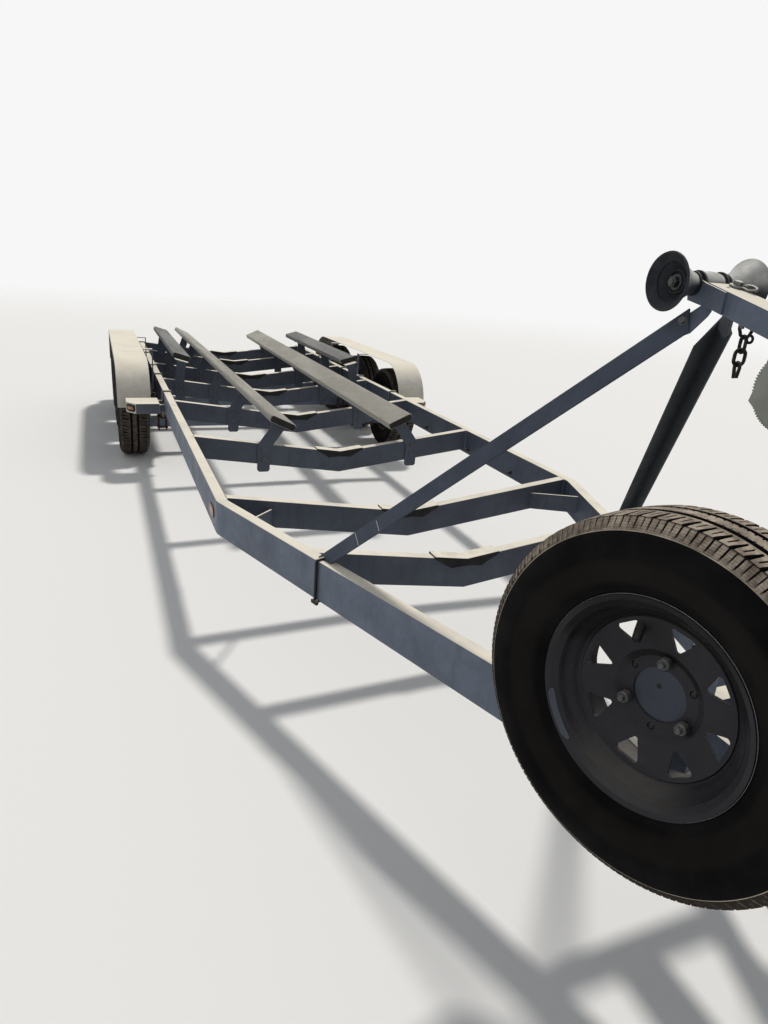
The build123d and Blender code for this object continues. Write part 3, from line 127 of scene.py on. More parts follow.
class Graph:
    """The shading nodes of a material or the world."""

    def __init__(self, owner):
        owner.use_nodes = True
        self.tree = owner.node_tree

    def link(self, source, target):
        if isinstance(source, tuple):
            target.default_value = (*source, 1.0)
        elif isinstance(source, (int, float)):
            target.default_value = source
        else:
            self.tree.links.new(source, target)

    def fill(self, node, **values):
        """Links or sets the inputs named, where an underscore stands for a space."""
        for name, value in values.items():
            self.link(value, node.inputs[name.replace("_", " ")])
        return node

    def node(self, kind, **values):
        return self.fill(self.tree.nodes.new(f"ShaderNode{kind}"), **values)

    def math(self, operation, a, b=0.0):
        node = self.node("Math")
        node.operation = operation
        self.link(a, node.inputs[0])
        self.link(b, node.inputs[1])
        return node.outputs["Value"]

    def show(self, share, a, b, output):
        """Shows a shader that goes from a to b."""
        node = self.node("MixShader", Fac=share)
        self.link(a, node.inputs[1])
        self.link(b, node.inputs[2])
        self.link(node.outputs["Shader"], self.tree.nodes[output].inputs["Surface"])


class Paint(Graph):
    """A node material. Patterns use the object's own coordinates, in metres."""

    def __init__(self, name):
        self.material = bpy.data.materials.new(name)
        super().__init__(self.material)
        self.shader = self.tree.nodes["Principled BSDF"]
        self.place = self.node("TexCoord").outputs["Object"]

    def noise(self, scale, detail=4.0, rough=0.55, stretch=None):
        """Cloudy pattern; stretch scales the coordinates by three numbers."""
        place = self.place
        if stretch:
            mapping = self.node("Mapping", Vector=place)
            mapping.inputs["Scale"].default_value = stretch
            place = mapping.outputs["Vector"]
        return self.node("TexNoise", Vector=place, Scale=scale, Detail=detail, Roughness=rough).outputs["Fac"]

    def cells(self, scale):
        """A random grey for each crystal-like cell."""
        colour = self.node("TexVoronoi", Vector=self.place, Scale=scale).outputs["Color"]
        return self.node("RGBToBW", Color=colour).outputs["Val"]

    def ramp(self, value, low, high, out_low=0.0, out_high=1.0):
        """Smooth step from low to high."""
        node = self.node("MapRange", Value=value, From_Min=low, From_Max=high)
        self.fill(node, To_Min=out_low, To_Max=out_high)
        node.interpolation_type = "SMOOTHSTEP"
        return node.outputs["Result"]

    def times(self, a, b):
        return self.math("MULTIPLY", a, b)

    def less(self, a, b):
        return self.math("SUBTRACT", a, b)

    def length(self, a, b):
        """Distance of the point (a, b) from zero."""
        return self.math("POWER", self.math("ADD", self.times(a, a), self.times(b, b)), 0.5)

    def mix(self, share, a, b):
        node = self.node("Mix")
        node.data_type = "RGBA"
        return self.fill(node, Factor=share, A=a, B=b).outputs["Result"]

    def split(self, vector=None):
        """X, Y and Z of the place, or of another vector."""
        return self.node("SeparateXYZ", Vector=self.place if vector is None else vector).outputs

    def normal(self):
        """X, Y and Z of the direction that a face looks in."""
        return self.split(self.node("NewGeometry").outputs["Normal"])

    def facing_up(self, low=0.55, high=0.95):
        """1 on faces that look up, 0 on upright ones."""
        return self.ramp(self.normal()["Z"], low, high)

    def bump(self, *layers):
        """Layers are (height, distance in metres)."""
        last = None
        for height, distance in layers:
            node = self.node("Bump", Distance=distance, Height=height)
            if last is not None:
                self.link(last, node.inputs["Normal"])
            last = node.outputs["Normal"]
        self.link(last, self.shader.inputs["Normal"])

    def finish(self, colour, rough, metal=0.0, **constants):
        self.fill(self.shader, Base_Color=colour, Roughness=rough, Metallic=metal, **constants)
        return self.material


# cream of the dust on top faces, light enough that it also paints the light falling on them
DUST_AND_TOP_LIGHT = (0.78, 0.73, 0.62)
RUST = (0.16, 0.065, 0.028)
CARPET_RIB = 0.008
TYRE_RING = 0.0042
LENS_FLUTE = 0.006


def shaded(colour, share):
    return tuple(min(1.0, c * share) for c in colour)


def weathered_metal(name, base, metal, rough, dust_and_light_on_top, rust, spangle, specular, front=None):
    """Outdoor metal: zinc flowers, stains that run down, dust on top that also paints the top faces' light,
    grime with painted shade on faces that look down, and specks of rust.

    front is the painted shade of faces that look straight to the front, if they get one.
    """
    p = Paint(name)
    dark = shaded(base, 0.62)
    light = shaded(base, 1.28)
    flowers = p.ramp(p.cells(42.0), 0.2, 0.8)
    colour = p.mix(p.times(flowers, spangle), base, light)
    colour = p.mix(p.ramp(p.noise(2.6, 6.0), 0.42, 0.72, 0.0, 0.55), colour, dark)
    streaks = p.ramp(p.noise(1.0, 5.0, 0.6, (34.0, 34.0, 3.2)), 0.50, 0.78, 0.0, 0.5)
    colour = p.mix(streaks, colour, dark)
    chalk = p.ramp(p.noise(11.0, 5.0, 0.62), 0.52, 0.74, 0.0, 0.45)
    colour = p.mix(chalk, colour, light)
    specks = p.ramp(p.noise(24.0, 6.0, 0.7), 0.72 - 0.34 * rust, 0.86 - 0.2 * rust)
    specks = p.times(specks, min(1.0, rust * 4))
    colour = p.mix(specks, colour, RUST)
    # dust on faces that look up, which also stands for painted light on the tops
    top_dust_and_light = p.times(p.facing_up(), p.ramp(p.noise(7.0, 5.0), 0.2, 0.6, 0.7, 1.0))
    top_dust_and_light = p.times(top_dust_and_light, dust_and_light_on_top)
    colour = p.mix(top_dust_and_light, colour, DUST_AND_TOP_LIGHT)
    # painted shade: a darker colour on faces that look straight to the front
    if front:
        colour = p.mix(p.ramp(p.normal()["Y"], -0.96, -0.92, 1.0, 0.0), colour, front)
    # grime and painted shade on faces that look down
    underside_grime_and_shade = (base[0] * 0.24, base[1] * 0.24, base[2] * 0.20)
    shaded_undersides = p.ramp(p.normal()["Z"], -0.30, -0.12, 1.0, 0.0)
    colour = p.mix(p.times(shaded_undersides, 0.85), colour, underside_grime_and_shade)
    gloss = p.math("ADD", p.ramp(p.noise(9.0, 4.0), 0.3, 0.7, -0.09, 0.12), rough)
    gloss = p.math("ADD", gloss, p.times(top_dust_and_light, 0.35))
    metallic = p.times(p.less(1.0, p.math("MAXIMUM", top_dust_and_light, specks)), metal)
    p.bump((p.noise(260.0, 3.0), 0.0006), (p.noise(38.0, 3.0), 0.0010))
    return p.finish(colour, gloss, metallic, Specular_IOR_Level=specular)


def carpet(name, base, worn):
    """Marine carpet: looped pile, trodden and bleached along the crown."""
    p = Paint(name)
    pile = p.noise(620.0, 2.0, 0.7)
    tufts = p.noise(190.0, 3.0, 0.6)
    colour = p.mix(p.ramp(pile, 0.3, 0.7), shaded(base, 0.55), base)
    patches = p.ramp(p.noise(3.4, 6.0, 0.62, (2.0, 0.5, 2.0)), 0.40, 0.68)
    colour = p.mix(p.times(patches, p.times(p.facing_up(0.35, 0.9), 0.75)), colour, worn)
    colour = p.mix(p.ramp(p.noise(14.0, 5.0), 0.56, 0.8, 0.0, 0.5), colour, shaded(base, 0.4))
    ribs = p.math("SINE", p.times(p.split()["X"], math.tau / CARPET_RIB))
    p.bump((pile, 0.0022), (tufts, 0.0030), (ribs, 0.0006))
    return p.finish(colour, 0.96, Sheen_Weight=0.35, Sheen_Roughness=0.6)


def rubber(name, base, dust_and_light_on_top, rough):
    p = Paint(name)
    scuffed = tuple(c * 1.9 + 0.006 for c in base)
    colour = p.mix(p.ramp(p.noise(16.0, 5.0), 0.35, 0.75), base, scuffed)
    # dust on faces that look up, which also stands for painted light on the tops
    top_dust_and_light = p.times(p.facing_up(0.3, 0.9), p.ramp(p.noise(22.0, 5.0), 0.3, 0.6, 0.8, 1.0))
    colour = p.mix(p.times(top_dust_and_light, dust_and_light_on_top), colour, DUST_AND_TOP_LIGHT)
    p.bump((p.noise(420.0, 2.0), 0.0005), (p.noise(60.0, 3.0), 0.0008))
    gloss = p.ramp(p.noise(30.0, 3.0), 0.3, 0.7, rough - 0.08, rough + 0.08)
    return p.finish(colour, gloss, Specular_IOR_Level=0.25)


def tyre_rubber(name, pale_tread, dark_tread, top_dust_and_light=False):
    """Near-black sidewall, darker than rubber as painted shade, with a worn line at the shoulder, and a tread
    whose slot floors are painted dark as shade.

    With the last argument set, the tread keeps its pale colour, dust with painted light, only on faces that
    look up, and the rest gets painted shade.
    """
    p = Paint(name)
    place = p.split()
    radius = p.length(place["Y"], place["Z"])
    # the sidewall is darker than rubber's own colour: painted shade
    base = p.mix(p.ramp(p.noise(9.0, 5.0), 0.35, 0.7), (0.0032, 0.0032, 0.0038), (0.0070, 0.0066, 0.0068))
    haze = p.ramp(p.noise(4.0, 6.0, 0.65), 0.50, 0.85, 0.0, 0.10)
    base = p.mix(haze, base, (0.085, 0.066, 0.052))
    inner_zone = p.times(p.ramp(radius, 0.225, 0.240), p.ramp(radius, 0.268, 0.286, 0.75, 0.0))
    base = p.mix(inner_zone, base, (0.0130, 0.0105, 0.0090))
    ground = p.mix(p.ramp(p.noise(30.0, 5.0), 0.3, 0.7), dark_tread, pale_tread)
    ground = p.mix(p.ramp(p.noise(150.0, 3.0), 0.45, 0.75, 0.0, 0.5), ground, shaded(dark_tread, 0.5))
    # how far a point lies under the tread's plain surface
    fall = p.times(p.times(place["X"], place["X"]), CROWN_FALL / TREAD_HALF ** 2)
    beyond = p.less(p.math("ABSOLUTE", place["X"]), TREAD_HALF)
    sloped = p.less(TYRE_RADIUS - CROWN_FALL, p.times(beyond, SHOULDER_SLOPE))
    below = p.less(p.math("MINIMUM", p.less(TYRE_RADIUS, fall), sloped), radius)
    # with the last argument set: painted shade on the tread's faces that do not look up
    if top_dust_and_light:
        ground = p.mix(p.facing_up(0.10, 0.85), shaded(dark_tread, 0.20), ground)
    # painted shade on the floors of the slots and grooves
    ground = p.mix(p.ramp(below, 0.0003, 0.0014), ground, (0.006, 0.005, 0.005))
    line = SHOULDER_LINE[1]
    colour = p.mix(p.ramp(radius, line - 0.0002, line + 0.0006), base, ground)
    worn = p.ramp(radius, line, line + 0.0008, 1.0, 0.0)
    worn = p.times(worn, p.ramp(radius, line - 0.0014, line - 0.0008))
    worn = p.times(worn, p.ramp(p.noise(18.0, 3.0), 0.3, 0.6, 0.35, 0.9))
    colour = p.mix(worn, colour, shaded(pale_tread, 1.3))
    rings = p.math("SINE", p.times(radius, math.tau / TYRE_RING))
    lines = p.times(rings, p.ramp(radius, 0.300, 0.304))
    p.bump((p.noise(380.0, 3.0), 0.0005), (lines, 0.0002))
    return p.finish(colour, p.ramp(p.noise(12.0, 4.0), 0.3, 0.7, 0.66, 0.88), Specular_IOR_Level=0.06)


def roller_paint():
    """Weathered rubber roller: light grey flanks with painted shade on their lower faces, dark faces inside
    the bells.
    """
    p = Paint("roller_rubber")
    facing = p.normal()
    place = p.split()
    from_middle = p.math("ABSOLUTE", place["X"])
    inside = p.ramp(p.times(facing["X"], p.math("SIGN", place["X"])), 0.12, 0.30)
    inside = p.times(inside, p.ramp(from_middle, 0.045, 0.050))
    outward = p.less(from_middle, BELL_FLOOR)
    radius = p.length(p.less(place["Y"], ROLLER_PLACE.y), p.less(place["Z"], ROLLER_PLACE.z))
    # how far a point lies within the flare of its bell
    depth = p.less(p.math("ADD", p.times(outward, 0.82), 0.040), radius)
    hollow = p.times(p.ramp(depth, -0.0004, 0.0006), p.ramp(outward, -0.002, -0.0005))
    inside = p.math("MAXIMUM", inside, hollow)
    flank = p.mix(p.ramp(p.noise(28.0, 5.0), 0.35, 0.7), (0.40, 0.405, 0.39), (0.60, 0.595, 0.56))
    flank = p.mix(p.ramp(p.noise(70.0, 4.0, 0.6), 0.62, 0.78, 0.0, 0.6), flank, (0.12, 0.10, 0.08))
    # painted shade: the flanks turn dark on faces that look sideways and down
    flank = p.mix(p.ramp(facing["Z"], -0.20, 0.40), (0.030, 0.033, 0.040), flank)
    face = p.mix(p.ramp(p.noise(35.0, 5.0), 0.35, 0.7), (0.011, 0.013, 0.018), (0.026, 0.029, 0.036))
    face = p.mix(p.ramp(p.noise(90.0, 4.0), 0.66, 0.80, 0.0, 0.5), face, (0.16, 0.15, 0.14))
    p.bump((p.noise(300.0, 3.0), 0.0004), (p.noise(45.0, 3.0), 0.0007))
    gloss = p.ramp(p.noise(30.0, 3.0), 0.3, 0.7, 0.52, 0.70)
    return p.finish(p.mix(inside, flank, face), gloss, Specular_IOR_Level=0.25)


def lens(name, base):
    """Faded lamp plastic, moulded in flutes on the inside."""
    p = Paint(name)
    faded = p.mix(p.ramp(p.noise(40.0, 4.0), 0.4, 0.7, 0.0, 0.5), base, tuple(c * 0.6 + 0.12 for c in base))
    flutes = p.math("SINE", p.times(p.split()["Z"], math.tau / LENS_FLUTE))
    p.bump((flutes, 0.0008))
    return p.finish(faded, 0.28, Transmission_Weight=0.18, Coat_Weight=0.4)


def make_materials():
    """The record's material slots, and a few finishes for small parts."""
    made = {}
    # columns: name, base colour, metallic, roughness, dust on top with painted top light, rust, zinc flowers,
    # specular, painted shade of the faces that look to the front, if any
    for row in (
        # galvanised is darker and bluer than bare zinc: partly painted shade lit by the sky
        ("galvanised", (0.128, 0.154, 0.204), 0.30, 0.50, 1.00, 0.02, 0.35, 0.26),
        # the next two are darker copies of galvanised: painted shade for crossmembers, gussets, brackets,
        # braces and right rail
        ("shaded_galvanised", (0.066, 0.077, 0.100), 0.20, 0.60, 1.00, 0.03, 0.25, 0.20),
        ("dark_shade_galvanised", (0.064, 0.078, 0.108), 0.25, 0.55, 1.00, 0.02, 0.30, 0.20),
        ("fender_steel", (0.440, 0.425, 0.380), 0.20, 0.55, 1.00, 0.04, 0.12, 0.35),
        # the last colour of step_steel is painted shade on the steps' front faces
        ("step_steel", (0.470, 0.450, 0.400), 0.20, 0.55, 1.00, 0.04, 0.12, 0.35, (0.075, 0.084, 0.100)),
        ("spring_steel", (0.060, 0.024, 0.016), 0.20, 0.75, 0.30, 0.80, 0.10, 0.25),
        ("wheel_paint", (0.025, 0.0245, 0.029), 0.20, 0.50, 0.12, 0.20, 0.20, 0.18),
        ("cap_plastic", (0.047, 0.055, 0.074), 0.15, 0.50, 0.12, 0.03, 0.12, 0.22),
        ("winch_paint", (0.300, 0.312, 0.275), 0.15, 0.55, 0.60, 0.05, 0.15, 0.30),
        ("jack_zinc", (0.230, 0.235, 0.245), 0.55, 0.42, 0.75, 0.05, 0.20, 0.40),
        ("bolt_steel", (0.150, 0.155, 0.162), 0.50, 0.45, 0.60, 0.10, 0.15, 0.35),
        ("dull_steel", (0.085, 0.088, 0.092), 0.40, 0.50, 0.30, 0.12, 0.10, 0.35),
        ("lead_grey", (0.070, 0.078, 0.098), 0.20, 0.55, 0.30, 0.01, 0.10, 0.22),
        ("chain_steel", (0.022, 0.021, 0.022), 0.35, 0.55, 0.55, 0.12, 0.10, 0.25),
        ("pale_zinc", (0.520, 0.540, 0.560), 0.10, 0.60, 0.20, 0.00, 0.20, 0.35),
    ):
        made[row[0]] = weathered_metal(*row)
    # columns: name, base colour, dust on top with painted top light, roughness
    for row in (
        ("pad_rubber", (0.006, 0.006, 0.007), 1.00, 0.75),
        ("dark_rubber", (0.012, 0.013, 0.016), 0.08, 0.55),
        ("black_plastic", (0.006, 0.006, 0.006), 0.05, 0.55),
    ):
        made[row[0]] = rubber(*row)
    made["roller_rubber"] = roller_paint()
    made["carpet_light"] = carpet("carpet_light", (0.385, 0.362, 0.300), (0.46, 0.44, 0.38))
    made["carpet_dark"] = carpet("carpet_dark", (0.110, 0.110, 0.106), (0.26, 0.255, 0.24))
    # tyre is the shaded copy for the road wheels, sunlit_tyre the lit one for the spare: painted shade and
    # light
    made["tyre"] = tyre_rubber("tyre", (0.110, 0.095, 0.080), (0.040, 0.034, 0.030))
    made["sunlit_tyre"] = tyre_rubber("sunlit_tyre", (0.44, 0.375, 0.300), (0.17, 0.140, 0.112), True)
    made["lamp_amber"] = lens("lamp_amber", (0.46, 0.13, 0.015))
    made["lamp_red"] = lens("lamp_red", (0.42, 0.016, 0.014))
    return made


materials = make_materials()
# slot and finish of small black parts
BLACK = ("pad_rubber", "black_plastic")


# Mesh helpers

def angles(count):
    return [math.tau * k / count for k in range(count)]


def about_x(x, r, a):
    """Point at this distance from the X axis and this angle about it."""
    return Vector((x, r * math.cos(a), r * math.sin(a)))


def skin(bm, rings, closed=False):
    """Faces from ring to ring of points. A form not closed on itself gets its two end faces."""
    rings = [[bm.verts.new(point) for point in ring] for ring in rings]
    count = len(rings[0])
    for low, high in zip(rings, rings[1:] + rings[:1] if closed else rings[1:]):
        for k in range(count):
            n = (k + 1) % count
            bm.faces.new((low[k], low[n], high[n], high[k]))
    if closed:
        return []
    return [bm.faces.new(rings[0][::-1]), bm.faces.new(rings[-1])]


def tube(bm, points, radius, sides=10, closed=False, sizes=None):
    """Round bar along a line of points; sizes are shares of the radius at each of them."""
    points = [Vector(p) for p in points]
    count = len(points)
    rings = []
    normal = None
    for i, point in enumerate(points):
        before = points[i - 1] if (i or closed) else point
        after = points[(i + 1) % count] if (i < count - 1 or closed) else point
        along = (after - before).normalized()
        if normal is None:
            normal = along.orthogonal().normalized()
        normal = (normal - along * normal.dot(along)).normalized()
        side = along.cross(normal)
        r = radius if sizes is None else radius * sizes[i]
        rings.append([point + r * (math.cos(a) * normal + math.sin(a) * side) for a in angles(sides)])
    skin(bm, rings, closed)


def lathe(bm, profile, place, sides=24):
    """Closed turned form about the place's Z axis, from (radius, height) pairs."""
    skin(bm, [[place @ Vector((r * math.cos(a), r * math.sin(a), height)) for a in angles(sides)]
              for r, height in profile])


def pointing(point, axis):
    """Place whose Z axis points along axis."""
    return Matrix.Translation(Vector(point)) @ Vector(axis).to_track_quat("Z", "Y").to_matrix().to_4x4()


def axes_to(x, y, z):
    """Turn that takes the three axes to these directions."""
    return Matrix((x, y, z)).transposed().to_4x4()


def bolt(bm, point, axis, size=0.0127, stud=0.0, washer=True):
    """Hexagon head or nut of a bolt of this diameter, with a washer and a stud's end."""
    place = pointing(point, axis)
    base = 0.0
    if washer:
        base = 0.2 * size
        lathe(bm, [(1.15 * size, 0), (1.15 * size, base * 0.7), (1.08 * size, base)], place, 20)
    across = 0.86 * size
    height = 0.75 * size
    turned = place @ Matrix.Rotation(random.uniform(0, math.pi / 3), 4, "Z")
    lathe(bm, [(across, base), (across, base + height * 0.86), (across * 0.84, base + height)], turned, 6)
    if stud:
        tip = base + height
        end = [(size / 2, tip - 0.001), (size / 2, tip + stud * 0.85), (size * 0.38, tip + stud)]
        lathe(bm, end, place, 12)


def plate(bm, place, x, y, z, edge=0.0015):
    """Bevelled flat plate centred on place."""
    made = bmesh.ops.create_cube(bm, size=1.0, matrix=place @ Matrix.Diagonal((x, y, z, 1.0)))
    edges = list(dict.fromkeys(e for v in made["verts"] for e in v.link_edges))
    bmesh.ops.bevel(bm, geom=edges, offset=edge, segments=2, profile=0.5, affect="EDGES", clamp_overlap=True)


def smooth_mesh(name, bm, material, angle=35):
    """Ends a mesh: faces outwards, and smooth but for the edges sharper than the angle."""
    bmesh.ops.recalc_face_normals(bm, faces=bm.faces)
    mesh = bpy.data.meshes.new(name)
    bm.to_mesh(mesh)
    bm.free()
    mesh.polygons.foreach_set("use_smooth", [True] * len(mesh.polygons))
    mesh.set_sharp_from_angle(angle=math.radians(angle))
    mesh.materials.append(materials[material])
    return mesh


def piece(name, bm, slot, material=None, body="frame"):
    """Turns the mesh into a piece that rides on a CAD body."""
    mesh = smooth_mesh(name, bm, material or slot)
    return place_piece(name, mesh, Matrix.Identity(4), body)


def place_piece(name, mesh, place, body):
    made = add_object(name, mesh)
    made.matrix_world = place
    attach(made, body)
    return made


def rail_point(side, along, out, z):
    """Point on a tongue rail: along it from the knee, out from its outer face."""
    x = RAIL_OUTER - along * math.sin(TONGUE) + out * math.cos(TONGUE)
    y = -along * math.cos(TONGUE) - out * math.sin(TONGUE)
    return Vector((side * x, y + KNEE_Y, z))


# Carried-over CAD nodes

# widths of the rounded edges
SOFT_EDGES = {
    "rail_left": 0.005, "rail_right": 0.005, "tongue_tube": 0.006, "winch_post": 0.005, "winch_arm": 0.0025,
    "crossmember_front": 0.004, "winch_braces": 0.0026, "fender_left": 0.0012, "fender_right": 0.0012,
    "fender_steps": 0.003, "fender_arms": 0.0015, "knee_gussets": 0.0015, "bunk_brackets_inner": 0.002,
    "bunk_brackets_outer": 0.002, "keel_pads": 0.003, "spare_carrier": 0.003, "winch_frame": 0.0012,
    "coupler": 0.0015, "jack_mount": 0.002, "axles": 0.002, "winch_crank": 0.0012,
}
CROSS_NODES = [f"crossmember_{i}" for i in range(1, 9)]
SOFT_EDGES.update(dict.fromkeys(CROSS_NODES, 0.004))
# finishes of the nodes that look other than their slot, among them darker galvanised as painted shade
SHADED_NODES = ["crossmember_front", "knee_gussets", "bunk_brackets_inner", "bunk_brackets_outer"]
OWN_FINISH = dict.fromkeys(CROSS_NODES + SHADED_NODES, "shaded_galvanised")
OWN_FINISH.update(dict.fromkeys(["winch_braces", "rail_right"], "dark_shade_galvanised"))
OWN_FINISH["fender_steps"] = "step_steel"


def dress_nodes():
    """Gives each CAD node its finish, and rounds the folded and cut edges."""
    for row in frame["record"]["subparts"]:
        node = frame["nodes"][row["node"]]
        node.data.materials.clear()
        node.data.materials.append(materials[OWN_FINISH.get(row["node"], row["material_slot"])])
        width = SOFT_EDGES.get(row["node"])
        if width:
            weld = node.modifiers.new("weld", "WELD")
            weld.merge_threshold = 0.00002
            bevel = node.modifiers.new("bevel", "BEVEL")
            bevel.width = width
            bevel.segments = 2
            bevel.limit_method = "ANGLE"
            bevel.angle_limit = math.radians(38)
            weighted = node.modifiers.new("weighted", "WEIGHTED_NORMAL")
            weighted.keep_sharp = False


# Tyres and wheels

PITCHES = 80
# width of the cuts in every second pitch, against the others
SHORT_PITCH = 0.82
GROOVE = 0.025
GROOVE_HALF = 0.0080
GROOVE_DEPTH = 0.0085
# shares of a pitch: a slot at the tread's edge, what it narrows by, its slant, and the cuts beside the tread
SLOT_WIDTH = 0.215
SLOT_TAPER = 0.115
SLOT_SLANT = 0.24
BAND_SLOT = 0.075
INNER_SLOT = 0.05
SLOT_DEPTH = 0.0060
SLOT_END = 0.0400
SIPE_DEPTH = 0.0034
SIPE_END = 0.070
RIB_MIDDLE = 0.015
# shares of half a slot's width, and the fine cut in the middle of the block
SLOT_STOPS = (-1.0, -0.5, 0.5, 1.0)
SIPE_STOPS = (-0.070, 0.0, 0.070)
WALL_STEPS = 9
WALL_RINGS = (2, 6)


def tyre_profile():
    """(x, radius, kind) from the right bead over the tread to the left one."""
    flange = Vector(BEAD[0])
    bulge = Vector((TYRE_HALF, 0.280))
    shoulder = Vector((TYRE_HALF - 0.010, 0.338))
    right = []
    for i in range(WALL_STEPS + 1):
        t = 0.93 * i / WALL_STEPS
        point = flange * (1 - t) * (1 - 2 * t) + bulge * 4 * t * (1 - t) + shoulder * t * (2 * t - 1)
        raised = 0.0010 if i in WALL_RINGS else 0.0
        right.append((point.x + raised, point.y, "wall"))
    edge = TYRE_RADIUS - CROWN_FALL
    right += [
        (*SHOULDER_LINE, "wall"),
        (SHOULDER_LINE[0] - 0.001, SHOULDER_LINE[1] + 0.001, "band"),
        (0.1005, 0.3382, "band"),
        (0.0930, 0.3452, "band"),
        (TREAD_HALF + 0.0020, edge - 0.0012, "band"),
        (TREAD_HALF + 0.0006, edge - 0.0030, "thin"),
    ]
    xs = [TREAD_HALF - 0.0018, 0.073, 0.065, 0.056, 0.048, SLOT_END, GROOVE + GROOVE_HALF + 0.004]
    xs += [GROOVE + GROOVE_HALF * share for share in (1.0, 0.7, -0.7, -1.0)]
    xs.append(GROOVE - GROOVE_HALF - 0.006)
    for x in xs:
        kind = "lug" if x > GROOVE else "rib"
        if abs(x - GROOVE) < GROOVE_HALF * 0.8:
            kind = "groove"
        right.append((x, TYRE_RADIUS - CROWN_FALL * (x / TREAD_HALF) ** 2, kind))
    return right + [(-x, r, kind) for x, r, kind in right[::-1]]


def tread_cut(x, kind, slotted, siped):
    """Depth of the tread at this place across it, on a slot's floor or a fine cut's floor."""
    wide = abs(x)
    if kind == "groove":
        return GROOVE_DEPTH
    if kind == "lug" and slotted and wide >= SLOT_END:
        return SLOT_DEPTH * (1.0 if wide > SLOT_END + 0.005 else 0.45)
    if kind == "lug" and siped and SLOT_END < wide < SIPE_END:
        return SIPE_DEPTH
    if kind == "band" and (slotted or siped):
        return SIPE_DEPTH if wide < SHOULDER_LINE[0] - 0.002 else 0.0
    if kind == "rib" and (siped or slotted) and wide > RIB_MIDDLE:
        return SIPE_DEPTH
    return 0.0


def tyre_mesh(material):
    """Trailer tyre: slotted shoulder rows, two grooves, a notched middle rib and plain sidewalls."""
    bm = bmesh.new()
    profile = tyre_profile()
    inside = [(-x, r) for x, r in BEAD[1:]] + list(BEAD[:0:-1])
    # columns: place in the pitch, on a slot's floor, on a fine cut's floor, place widens with the slot
    stops = [(share, share in (-0.5, 0.5), False, True) for share in SLOT_STOPS]
    stops += [(0.5 + share, False, share == 0.0, False) for share in SIPE_STOPS]
    rings = []
    for pitch in range(PITCHES):
        grow = (1.0, SHORT_PITCH)[pitch % 2]
        for share, slotted, siped, widens in stops:
            ring = []
            for x, r, kind in profile:
                inward = min(1.0, max(0.0, (TREAD_HALF - abs(x)) / (TREAD_HALF - SLOT_END)))
                width = BAND_SLOT if kind == "band" else (SLOT_WIDTH - SLOT_TAPER * inward) * grow
                place = share * width if widens else share
                if kind in ("lug", "rib", "groove"):
                    place -= math.copysign(SLOT_SLANT * inward ** 2 * (3 - 2 * inward), x)
                a = math.tau * (pitch + place) / PITCHES
                r -= tread_cut(x, kind, slotted, siped)
                ring.append(about_x(x, r, a))
            a = math.tau * (pitch + (share * INNER_SLOT if widens else share)) / PITCHES
            rings.append(ring + [about_x(x, r, a) for x, r in inside])
    skin(bm, rings, closed=True)
    return smooth_mesh(material, bm, material, 32)


def wheel_place(side, y):
    turn = 0.0 if side > 0 else math.pi
    return Matrix.Translation((side * WHEEL_X, y, TYRE_RADIUS)) @ Matrix.Rotation(turn, 4, "Z")


def spare_place():
    middle = rail_point(-1, SPARE_ALONG, SPARE_OUT, SPARE_Z)
    turned = Matrix.Rotation(math.pi + TONGUE - SPARE_TURN, 4, "Z")
    return Matrix.Translation(middle) @ turned @ Matrix.Rotation(-SPARE_LEAN, 4, "Y")


def stud_place(number, out):
    """Place on the lug circle whose Z axis points out of the disc."""
    a = math.pi / 2 + math.tau * number / LUG_COUNT
    return pointing(about_x(out, LUG_CIRCLE, a), (1, 0, 0))


def wheel_nuts(place, studs):
    """Lug nuts on the studs with these numbers."""
    bm = bmesh.new()
    for number in studs:
        foot = stud_place(number, DISC_THICKNESS)
        lathe(bm, [(0.0085, -0.004), (0.0125, 0.003), (0.0125, 0.017), (0.0100, 0.0195), (0.0066, 0.0196),
                   (0.0066, 0.026), (0.0052, 0.0275)], foot, 18)
        lathe(bm, [(0.0128, 0.0022), (0.0128, 0.0165), (0.0106, 0.0185)], foot, 6)
    bm.transform(place)
    return bm


def turned_ring(profile, place):
    """Closed ring about the place's X axis, from a loop of (x, radius) pairs."""
    bm = bmesh.new()
    skin(bm, [[place @ about_x(x, r, a) for x, r in profile] for a in angles(96)], closed=True)
    return bm


def rim_face(place):
    """Rolled face of the rim, from the lip in to the disc's edge."""
    front = [(0.0682, 0.1858), (0.0655, 0.1842), (0.0600, 0.1822), (0.0540, 0.1790), (0.0480, 0.1740),
             (0.0420, 0.1690), (0.0360, 0.1655), (0.0310, 0.1625), (0.0285, 0.1590)]
    back = [(x - 0.0022, r + 0.0016) for x, r in front[::-1]]
    return turned_ring(front + back, place)


def rim_highlight(place):
    """Painted highlight: a bright ring on the rim's lip, where the tyre's bead meets it."""
    x, r = BEAD[0]
    wire = 0.0009
    loop = [(x + 0.0002 + wire * math.cos(a), r - 0.0024 + wire * math.sin(a)) for a in angles(8)]
    return turned_ring(loop, place)


def stud_ends(place, studs):
    """Bare ends of the studs with these numbers, which carry no nut."""
    bm = bmesh.new()
    end = [(0.0095, -0.001), (0.0095, 0.0028), (0.0060, 0.0030), (0.0056, 0.0062), (0.0046, 0.0070)]
    for number in studs:
        lathe(bm, end, stud_place(number, 0.0), 20)
    bm.transform(place)
    return bm


def valve_stem(place):
    """Black rubber valve stem that leans out through a window of the disc, with its cap."""
    bm = bmesh.new()
    line = [(0.006, 0.156, 0), (0.020, 0.142, 0), (0.036, 0.128, 0), (0.047, 0.118, 0), (0.051, 0.1145, 0)]
    tube(bm, line, 0.0095, 14, sizes=[1.25, 1.0, 1.0, 0.95, 0.80])
    bm.transform(place @ Matrix.Rotation(VALVE_TURN, 4, "X"))
    return bm


